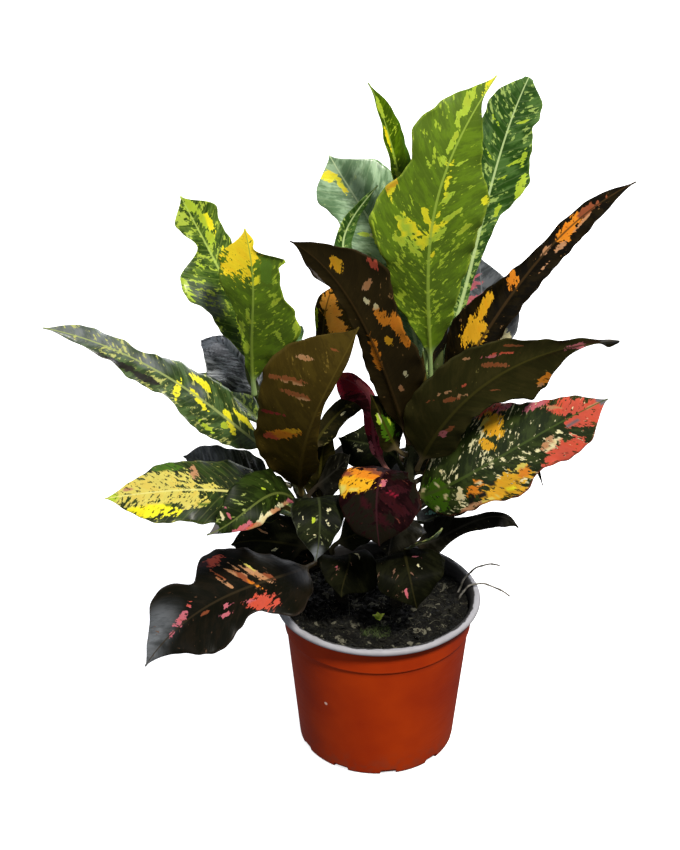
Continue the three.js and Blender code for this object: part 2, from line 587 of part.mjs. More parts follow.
function potSolid() {
  const shoulder = SHOULDER_RADIUS - WALL;
  const body = turned([
    [0, 0], [BASE_RADIUS - 3, 0], [BASE_RADIUS, 3], [SHOULDER_RADIUS, LEDGE_Z - 1.5],
    [SHOULDER_RADIUS + LEDGE_STEP, LEDGE_Z], [NECK_RADIUS, POT_HEIGHT - LIP_DROP],
    [RIM_RADIUS - 0.6, POT_HEIGHT - LIP_DROP], [RIM_RADIUS, POT_HEIGHT - 2.6],
    [RIM_RADIUS - 1.2, POT_HEIGHT - 0.4], [RIM_RADIUS - 3, POT_HEIGHT],
    [NECK_RADIUS - 1, POT_HEIGHT - 0.6], [NECK_RADIUS - WALL, POT_HEIGHT - 3],
    [shoulder + LEDGE_STEP, LEDGE_Z], [shoulder, LEDGE_Z - 1.5],
    [BASE_RADIUS - WALL, 4.4], [BASE_RADIUS - WALL - 2, FLOOR], [0, FLOOR],
  ]);
  const notches = Array.from({ length: NOTCHES }, (_, i) => toSolid(
    new THREE.BoxGeometry(NOTCH_DEPTH, NOTCH_WIDTH, 2 * NOTCH_HEIGHT)
      .translate(BASE_RADIUS, 0, 0)
      .rotateZ(THREE.MathUtils.degToRad((360 * i) / NOTCHES + NOTCH_TURN)),
  ));
  return notches.reduce((pot, notch) => pot.subtract(notch), toSolid(body));
}

// Soil fills the pot to just under the lip, with a low crown and a rough surface.
function soilSolid() {
  const inner = (radius) => radius - WALL - SEAT_GAP;
  const edge = inner(NECK_RADIUS) - 0.4;
  const topRings = [edge - 12, edge - 28, edge - 46];
  const body = turned([
    [0, FLOOR + SEAT_GAP], [inner(BASE_RADIUS) - 2.2, FLOOR + SEAT_GAP], [inner(BASE_RADIUS), 4.9],
    [inner(SHOULDER_RADIUS), LEDGE_Z - 1.2], [inner(SHOULDER_RADIUS) + LEDGE_STEP, LEDGE_Z + 0.6],
    [edge, SOIL_EDGE_Z],
    ...topRings.map((radius) => [radius, SOIL_EDGE_Z + SOIL_CROWN * (1 - (radius / edge) ** 2)]),
    [0, SOIL_EDGE_Z + SOIL_CROWN],
  ]);
  const points = body.attributes.position;
  for (let i = 0; i < points.count; i += 1) {
    const [x, y, z] = [points.getX(i), points.getY(i), points.getZ(i)];
    const lumps = Math.sin(x * 0.23 + 1) * Math.cos(y * 0.19) + Math.sin(x * 0.11 - y * 0.17);
    if (z > SOIL_EDGE_Z + 0.2) points.setZ(i, z + SOIL_ROUGHNESS * lumps);
  }
  const holes = Object.values(STEMS).map(stemHole);
  const stalkHoles = Object.values(DRY_STALKS).map((path) => toSolid(dryStalk(path, SEAT_GAP)));
  return [...holes, ...stalkHoles].reduce((soil, hole) => soil.subtract(hole), toSolid(body));
}

function dryStalk(path, grow = 0) {
  const curve = new THREE.QuadraticBezierCurve3(...path.map(vector));
  const shares = [0, 0.2, 0.4, 0.6, 0.8, 1];
  const stations = shares.map((share) => [share, DRY_STALK_RADIUS * (1 - 0.4 * share) + grow, 0]);
  if (grow > 0) stations.unshift([0, DRY_STALK_RADIUS + grow, -grow]);
  return roundStalk(curve, stations, DRY_STALK_SIDES);
}

function piece(name, geometry, colour, roughness) {
  const material = new THREE.MeshStandardMaterial({ color: colour, roughness, metalness: 0 });
  const mesh = new THREE.Mesh(geometry, material);
  mesh.name = name;
  return mesh;
}

const croton = new THREE.Group();
croton.add(piece('pot', toGeometry(potSolid()), COLOURS.pot, 0.45));
croton.add(piece('soil', toGeometry(soilSolid()), COLOURS.soil, 0.95));
for (const [name, stem] of Object.entries(STEMS)) {
  croton.add(piece(`stem_${name}`, stemGeometry(stem), COLOURS.stem, 0.8));
}
for (const [name, path] of Object.entries(DRY_STALKS)) {
  croton.add(piece(name, dryStalk(path), COLOURS.dry_stalk, 0.9));
}
for (const [name, leaf] of Object.entries(LEAVES)) {
  croton.add(piece(name, leafGeometry(leaf), LEAF_COLOURS[leaf.colour], 0.35));
}
export default croton;
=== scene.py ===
"""A potted croton: variegated leaves, woody stems, bark soil and a plastic nursery pot.

Sizes in the tables are millimetres; meshes are in metres, +Z up, with the front towards -Y.
"""
import functools
import json
import math
from collections import namedtuple

import bpy
import numpy as np
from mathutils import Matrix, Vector, noise


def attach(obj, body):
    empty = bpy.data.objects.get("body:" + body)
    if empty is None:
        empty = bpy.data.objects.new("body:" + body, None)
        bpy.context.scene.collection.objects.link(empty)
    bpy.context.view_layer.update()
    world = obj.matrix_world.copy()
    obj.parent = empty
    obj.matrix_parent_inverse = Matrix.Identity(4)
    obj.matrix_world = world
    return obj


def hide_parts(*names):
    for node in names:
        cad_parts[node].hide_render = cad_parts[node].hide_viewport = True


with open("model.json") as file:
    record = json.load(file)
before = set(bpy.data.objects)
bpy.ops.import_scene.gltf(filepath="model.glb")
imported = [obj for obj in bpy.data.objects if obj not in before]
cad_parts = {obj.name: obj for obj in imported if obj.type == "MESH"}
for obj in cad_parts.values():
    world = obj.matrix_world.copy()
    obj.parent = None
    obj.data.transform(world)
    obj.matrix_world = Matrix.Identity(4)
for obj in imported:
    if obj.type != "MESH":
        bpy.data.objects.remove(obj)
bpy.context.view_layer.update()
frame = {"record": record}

MM = 0.001

# The stems: path of a quadratic curve and the radius at its foot and tip.
STEMS = {
    "main": (((15, -5, 78), (9, -6, 200), (39, -5, 312)), (5.2, 3.2)),
    "left": (((-13, 0, 78), (-41, 0, 170), (-89, 0, 300)), (4.8, 3)),
    "back": (((19, 24, 78), (21, 44, 170), (25, 52, 250)), (4.4, 2.8)),
}
# Thin dry stalks that lie over the rim: foot, bend and free end.
DRY_STALKS = {
    "dry_stalk_upper": ((60, 16, 108), (67, 20, 141), (93, 30, 129)),
    "dry_stalk_lower": ((60, 7, 108), (67, 9, 141), (99, 6, 117)),
}
# The leaves' stalks, by their gap to the bark and their radius; then the droop of a blade's margins
# as a share of its width, and the lag of the wave on its right side in radians.
SEAT_GAP = 0.3
STALK_RADIUS = 1.7
MARGIN_DROOP = 0.12
WAVE_LAG = 2.2

Leaf = namedtuple("Leaf", "stem share bearing stalk third beyond tip left right roll fold wave")
# Half widths of a hidden leaf at eighths of its blade.
HIDDEN_WIDTHS = (9, 15, 19, 20, 18, 14, 8)


def hidden_leaf(stem, share, bearing, third, beyond, tip, widths=HIDDEN_WIDTHS):
    """A leaf of the far side: a row like the others, with the same stalk, fold and wave for all."""
    return Leaf(stem, share, bearing, stalk=16, third=third, beyond=beyond, tip=tip,
                left=widths, right=widths, roll=0, fold=12, wave=(1.5, 3, 0.2))


# The leaves, in the order of Leaf: stem, share of the stem, bearing, bare stalk, the points of the
# rib at its thirds and its tip, half widths at eighths of the blade on the left and right, roll and
# fold in degrees, and the wave's height, number and phase. The solids use the same values.
LEAF_ROWS = {
    "crown_front": ("main", 0.93, -90, 30, (30, -30, 386), (36, -36, 455), (70, -20, 523),
        (14, 20, 28, 31, 33, 21, 3), (11, 25, 29, 41, 28, 31, 19), 0, 10, (2, 3, 0.1)),
    "crown_right": ("main", 0.96, 75, 26, (58, 14, 363), (75, 30, 435), (97, 40, 504),
        (6, 7, 9, 11, 12, 17, 18), (4, 4, 7, 12, 24, 20, 18), 0, 10, (1.5, 3, 0.4)),
    "crown_sliver": ("main", 0.985, 185, 24, (25, 0, 369), (10, 0, 451), (-10, -6, 514),
        (10, 11, 9, 8, 7, 7, 4), (8, 10, 12, 12, 13, 12, 9), -45, 20, (0, 1, 0)),
    "crown_left": ("main", 0.88, 130, 24, (15, 20, 360), (-10, 36, 409), (-35, 46, 448),
        (9, 14, 20, 23, 21, 19, 22), (7, 10, 14, 19, 26, 31, 26), -30, 8, (1, 2, 0)),
    "crown_edge": ("main", 0.92, 170, 18, (-6, -4, 363), (-26, 8, 395), (-3, 14, 438),
        (4, 5, 6, 7, 7, 6, 4), (4, 5, 6, 7, 7, 6, 4), -60, 10, (0, 1, 0)),
    "maroon_raised": ("main", 0.74, -160, 16, (5, -30, 314), (-21, -42, 379), (-60, -38, 419),
        (15, 24, 28, 24, 27, 34, 18), (9, 11, 12, 9, 8, 7, 11), 60, 8, (1, 2, 0)),
    "inner_orange": ("left", 0.86, 0, 22, (-45, -10, 290), (-40, -14, 334), (-32, -16, 379),
        (10, 10, 9, 7, 6, 7, 8), (5, 9, 13, 16, 19, 24, 22), 60, 10, (0, 1, 0)),
    "olive_front": ("left", 0.64, -75, 8, (-51, -52, 281), (-35, -66, 330), (-16, -62, 369),
        (8, 13, 10, 7, 4, 4, 4), (15, 27, 35, 36, 41, 43, 27), -20, 10, (2, 2, 0)),
    "cream_margin": ("left", 0.59, -124, 12, (-73, -52, 239), (-92, -76, 239), (-117, -88, 228),
        (4, 6, 9, 12, 13, 13, 6), (9, 15, 17, 19, 20, 18, 10), -45, 10, (1, 2, 0)),
    "yellow_block": ("left", 0.97, -110, 10, (-87, -24, 347), (-85, -32, 386), (-90, -26, 423),
        (8, 16, 28, 34, 21, 22, 11), (4, 6, 9, 14, 21, 24, 21), 0, 8, (1.5, 2, 0)),
    "lime_left": ("left", 0.985, 120, 14, (-97, 10, 342), (-115, 18, 385), (-135, 18, 429),
        (9, 17, 21, 31, 28, 10, 12), (10, 10, 12, 15, 17, 17, 17), 0, 10, (1.5, 3, 0)),
    "grey_left": ("left", 0.88, 140, 14, (-92, 25, 289), (-108, 35, 308), (-128, 44, 310),
        (15, 23, 29, 31, 31, 27, 13), (10, 14, 15, 16, 15, 13, 9), 0, 10, (1.5, 3, 0)),
    "long_left": ("left", 0.76, 185, 14, (-108, -14, 278), (-157, -26, 323), (-226, -30, 354),
        (15, 21, 24, 15, 16, 11, 5), (15, 21, 19, 17, 8, 11, 10), -30, 8, (1.5, 3, 0)),
    "black_left": ("left", 0.66, 165, 14, (-80, 4, 219), (-110, 10, 225), (-141, 14, 232),
        (17, 20, 19, 16, 14, 11, 8), (11, 14, 16, 15, 14, 13, 10), -45, 8, (1, 4, 0)),
    "pale_yellow": ("left", 0.56, -160, 20, (-95, -30, 226), (-139, -44, 237), (-190, -50, 234),
        (17, 23, 28, 27, 24, 25, 14), (17, 23, 26, 25, 23, 21, 10), -30, 6, (1.5, 3, 0)),
    "coral_low": ("left", 0.4, -135, 22, (-72, -46, 167), (-118, -68, 159), (-164, -90, 122),
        (22, 34, 22, 26, 35, 27, 10), (19, 28, 37, 38, 24, 31, 14), -20, 6, (1.5, 3, 0)),
    "green_low": ("left", 0.46, 205, 8, (-57, 2, 163), (-80, 4, 166), (-108, 6, 162),
        (14, 20, 21, 21, 20, 17, 10), (22, 26, 25, 23, 20, 15, 8), -30, 8, (1, 2, 0)),
    "red_arch": ("main", 0.58, 138, 20, (-4, 2, 254), (-7, 2, 283), (-33, -2, 306),
        (4, 5, 6, 7, 11, 14, 13), (4, 5, 5, 5, 5, 6, 6), -60, 10, (0, 1, 0)),
    "red_inner": ("left", 0.72, 10, 14, (-44, 6, 250), (-28, 10, 270), (-5, 12, 280),
        (4, 5, 7, 8, 8, 7, 4), (6, 9, 10, 9, 8, 8, 6), 45, 10, (0, 1, 0)),
    "olive_inner": ("main", 0.7, -175, 10, (10, -14, 257), (1, -20, 280), (-7, -24, 301),
        (9, 10, 9, 8, 7, 6, 4), (10, 13, 13, 11, 10, 10, 7), -60, 10, (0, 1, 0)),
    "necked_right": ("main", 0.66, -45, 12, (54, -42, 303), (99, -44, 338), (158, -36, 347),
        (17, 15, 13, 18, 30, 18, 1), (20, 29, 29, 28, 22, 11, 5), -60, 8, (1.5, 2, 0)),
    "orange_raised": ("main", 0.84, 10, 16, (68, -10, 335), (109, -4, 397), (167, 2, 445),
        (15, 25, 20, 11, 6, 7, 6), (8, 10, 11, 12, 12, 11, 7), 45, 8, (1, 2, 0)),
    "pink_back": ("main", 0.9, 45, 16, (66, 26, 323), (72, 38, 347), (70, 46, 374),
        (9, 15, 20, 23, 25, 22, 17), (8, 14, 23, 29, 27, 19, 15), 20, 8, (1, 2, 0)),
    "red_yellow_right": ("main", 0.56, -15, 4, (56, -32, 239), (102, -42, 276), (152, -44, 308),
        (22, 28, 33, 36, 31, 20, 13), (17, 23, 25, 31, 23, 25, 20), 55, 6, (1.5, 3, 0)),
    "black_right": ("main", 0.4, -8, 6, (44, -18, 183), (73, -22, 201), (99, -24, 195),
        (14, 15, 13, 7, 4, 4, 3), (14, 10, 6, 6, 8, 8, 7), 45, 10, (0, 1, 0)),
    "soil_right": ("main", 0.36, -75, 12, (18, -35, 179), (21, -55, 173), (26, -64, 153),
        (11, 23, 28, 27, 25, 20, 13), (12, 16, 21, 23, 23, 21, 9), 0, 6, (1, 2, 0)),
    "soil_left": ("left", 0.36, -60, 10, (-21, -28, 174), (-24, -44, 168), (-27, -54, 156),
        (15, 15, 14, 18, 23, 25, 19), (16, 21, 24, 23, 23, 20, 12), 0, 6, (1, 2, 0)),
    "speckled_front": ("left", 0.54, -75, 20, (-43, -40, 228), (-42, -62, 218), (-45, -76, 200),
        (15, 18, 17, 18, 17, 13, 8), (9, 14, 17, 19, 20, 17, 10), 0, 8, (1, 2, 0)),
    "banded_front": ("main", 0.62, -115, 10, (2, -38, 247), (-3, -62, 236), (-1, -76, 212),
        (9, 15, 21, 27, 31, 31, 21), (14, 17, 23, 28, 27, 24, 17), 0, 8, (1, 2, 0)),
    "small_pale": ("main", 0.38, -55, 16, (24, -34, 186), (35, -48, 200), (43, -50, 210),
        (4, 6, 7, 7, 7, 6, 4), (4, 6, 7, 7, 7, 6, 4), 0, 10, (0, 1, 0)),
    "dark_inner": ("back", 0.72, 200, 12, (8, 30, 227), (-6, 32, 232), (-29, 31, 238),
        (10, 16, 20, 22, 22, 19, 13), (8, 15, 22, 23, 17, 10, 5), -60, 10, (1, 2, 0)),
    "back_01": hidden_leaf("main", 0.8, 70, (39, 40, 310), (59, 80, 318), (81, 112, 296)),
    "back_02": hidden_leaf("main", 0.6, 25, (55, 18, 232), (91, 38, 236), (124, 45, 190),
        (5, 8, 9, 9, 8, 6, 4)),
    "back_03": hidden_leaf("main", 0.48, 40, (53, 34, 205), (73, 70, 200), (77, 100, 172)),
    "back_04": hidden_leaf("main", 0.94, 100, (25, 40, 352), (19, 82, 386), (17, 110, 392)),
    "back_05": hidden_leaf("main", 0.83, 165, (-1, 34, 306), (-17, 68, 336), (-29, 90, 350)),
    "back_06": hidden_leaf("back", 0.98, 90, (31, 85, 300), (35, 120, 320), (37, 148, 310)),
    "back_07": hidden_leaf("back", 0.88, 35, (57, 80, 250), (87, 104, 262), (111, 118, 250)),
    "back_08": hidden_leaf("back", 0.75, 145, (-5, 82, 200), (-35, 108, 180), (-63, 120, 150)),
    "back_09": hidden_leaf("back", 0.6, 100, (11, 84, 180), (5, 120, 176), (-3, 146, 150)),
    "back_10": hidden_leaf("back", 0.5, 40, (45, 72, 165), (59, 96, 160), (69, 112, 135)),
    "back_11": hidden_leaf("left", 0.93, 60, (-71, 36, 302), (-69, 72, 308), (-69, 102, 292),
        (7, 12, 15, 15, 13, 10, 6)),
    "back_12": hidden_leaf("left", 0.78, 95, (-69, 42, 250), (-75, 80, 256), (-81, 108, 240)),
    "back_13": hidden_leaf("left", 0.6, 95, (-59, 40, 205), (-67, 78, 205), (-73, 106, 180)),
    "back_14": hidden_leaf("left", 0.48, 140, (-75, 34, 182), (-101, 58, 180), (-125, 76, 158),
        (8, 13, 16, 17, 15, 12, 7)),
    "back_15": hidden_leaf("left", 0.8, 150, (-101, 34, 266), (-131, 52, 276), (-155, 60, 268),
        (7, 12, 14, 14, 12, 9, 5)),
    "maroon_middle": ("main", 0.5, -100, 8, (13, -26, 201), (9, -42, 200), (6, -50, 188),
        (12, 18, 22, 22, 20, 15, 8), (8, 13, 16, 17, 16, 13, 8), 0, 8, (1, 2, 0)),
    "dark_middle": ("left", 0.6, 15, 12, (-48, 4, 209), (-35, 0, 224), (-21, -4, 243),
        (8, 14, 18, 18, 16, 12, 7), (10, 18, 22, 22, 20, 15, 9), 0, 8, (1, 2, 0)),
    "dark_low": ("left", 0.4, -10, 13, (-31, -6, 170), (-19, -8, 178), (-2, -10, 190),
        (9, 16, 19, 19, 16, 11, 7), (8, 10, 12, 12, 12, 10, 6), 30, 8, (1, 2, 0)),
    "green_middle": ("main", 0.46, 20, 10, (38, 12, 180), (53, 16, 185), (72, 20, 188),
        (8, 14, 18, 20, 18, 13, 7), (6, 8, 9, 10, 9, 8, 5), 0, 8, (1, 2, 0)),
    "olive_middle": ("main", 0.6, 80, 14, (29, 24, 216), (34, 30, 222), (39, 36, 234),
        (8, 10, 12, 12, 11, 8, 5), (8, 10, 12, 12, 11, 8, 5), 0, 8, (1, 2, 0)),
    "dark_upright": ("left", 0.5, 90, 14, (-43, 16, 197), (-42, 18, 224), (-35, 20, 254),
        (8, 12, 14, 14, 13, 10, 6), (8, 11, 12, 11, 10, 8, 5), 0, 8, (1, 2, 0)),
    "dark_side": ("left", 0.3, 190, 12, (-44, 14, 141), (-59, 18, 145), (-75, 20, 148),
        (10, 16, 19, 19, 17, 13, 7), (10, 16, 19, 19, 17, 13, 7), -30, 8, (1, 2, 0)),
}
LEAVES = {short: Leaf(*row) for short, row in LEAF_ROWS.items()}

# How each leaf looks, by the name of its finish.
FINISH_OF = {
    "lime_leaf": "crown_front crown_sliver yellow_block",
    "lime_fleck_leaf": "lime_left back_04 back_15",
    "green_leaf": "crown_right crown_edge back_05 back_11",
    "sheen_leaf": "crown_left back_06",
    "gold_fleck_leaf": "long_left small_pale back_14",
    "olive_leaf": "olive_front inner_orange back_01 back_07",
    "dark_olive_leaf": "necked_right olive_inner olive_middle red_inner dark_upright back_12",
    "maroon_leaf": "maroon_raised orange_raised back_03 back_08",
    "brown_red_leaf": "banded_front",
    "black_leaf": "black_right maroon_middle dark_middle back_02",
    "grey_leaf": "pink_back",
    "wrinkled_leaf": "grey_left",
    "rippled_leaf": "black_left",
    "pale_leaf": "pale_yellow",
    "coral_leaf": "coral_low back_13 back_09",
    "red_yellow_leaf": "red_yellow_right",
    "shade_leaf": "soil_left soil_right green_low dark_low dark_side back_10",
    "speckled_leaf": "speckled_front dark_inner green_middle",
    "red_leaf": "red_arch",
    "cream_edge_leaf": "cream_margin",
}

# How far the skin rises between the side veins of the crinkled leaves, and of all others, in mm.
PUCKER = {"grey_left": 1.5, "black_left": 1.2, "crown_left": 0.5, "crown_right": 0.4}
PLAIN_PUCKER = 0.07

# Lobes and notches of the margins between the eighths: side (left is 1), share along, half length
# and how far the margin stands out there, in mm.
MARGIN_SHAPE = {
    "crown_front": [(-1, 0.69, 9, -6), (-1, 0.58, 8, 3), (1, 0.85, 10, 4), (1, 0.72, 7, -3)],
    "crown_right": [(-1, 0.95, 10, 7), (1, 0.95, 10, 5), (-1, 0.84, 6, -4), (1, 0.7, 6, 2)],
    "yellow_block": [(1, 0.89, 4, -6), (1, 0.83, 3, 10), (1, 0.74, 7, -3), (1, 0.6, 5, 5), (-1, 0.9, 5, 3)],
    "necked_right": [(1, 0.97, 5, 6), (-1, 0.97, 5, 1), (1, 0.7, 4, 4)],
    "lime_left": [(1, 0.7, 6, -7), (1, 0.9, 6, 2), (-1, 0.86, 5, 2)],
    "crown_left": [(1, 0.93, 8, 3)],
    "coral_low": [(-1, 0.585, 5, -6), (-1, 0.68, 6, 3), (1, 0.63, 6, -3)],
    "red_yellow_right": [(1, 0.66, 5, -2), (1, 0.57, 8, 2)],
}

# The grey blotches are painted sheen: a reflection of the light painted at leaf tips, and a painted
# highlight along a folded edge.
BLOTCH_COLOURS = {
    "yellow": "#dcd422", "gold": "#cc981e", "orange": "#c8781e", "peach": "#a67a56", "coral": "#b64a38",
    "pink": "#ae5c66", "cream": "#c8c094", "straw": "#c0b454", "lime": "#a0b832", "leaf": "#3a5c0e",
    "black": "#14110a", "grey": "#5c5b5e", "teal": "#4c7466", "red": "#84182c", "rust": "#2a0c10",
    "brick": "#7c4228", "amber": "#ffdc1e", "apricot": "#eea03c", "dusk": "#141c0a",
}
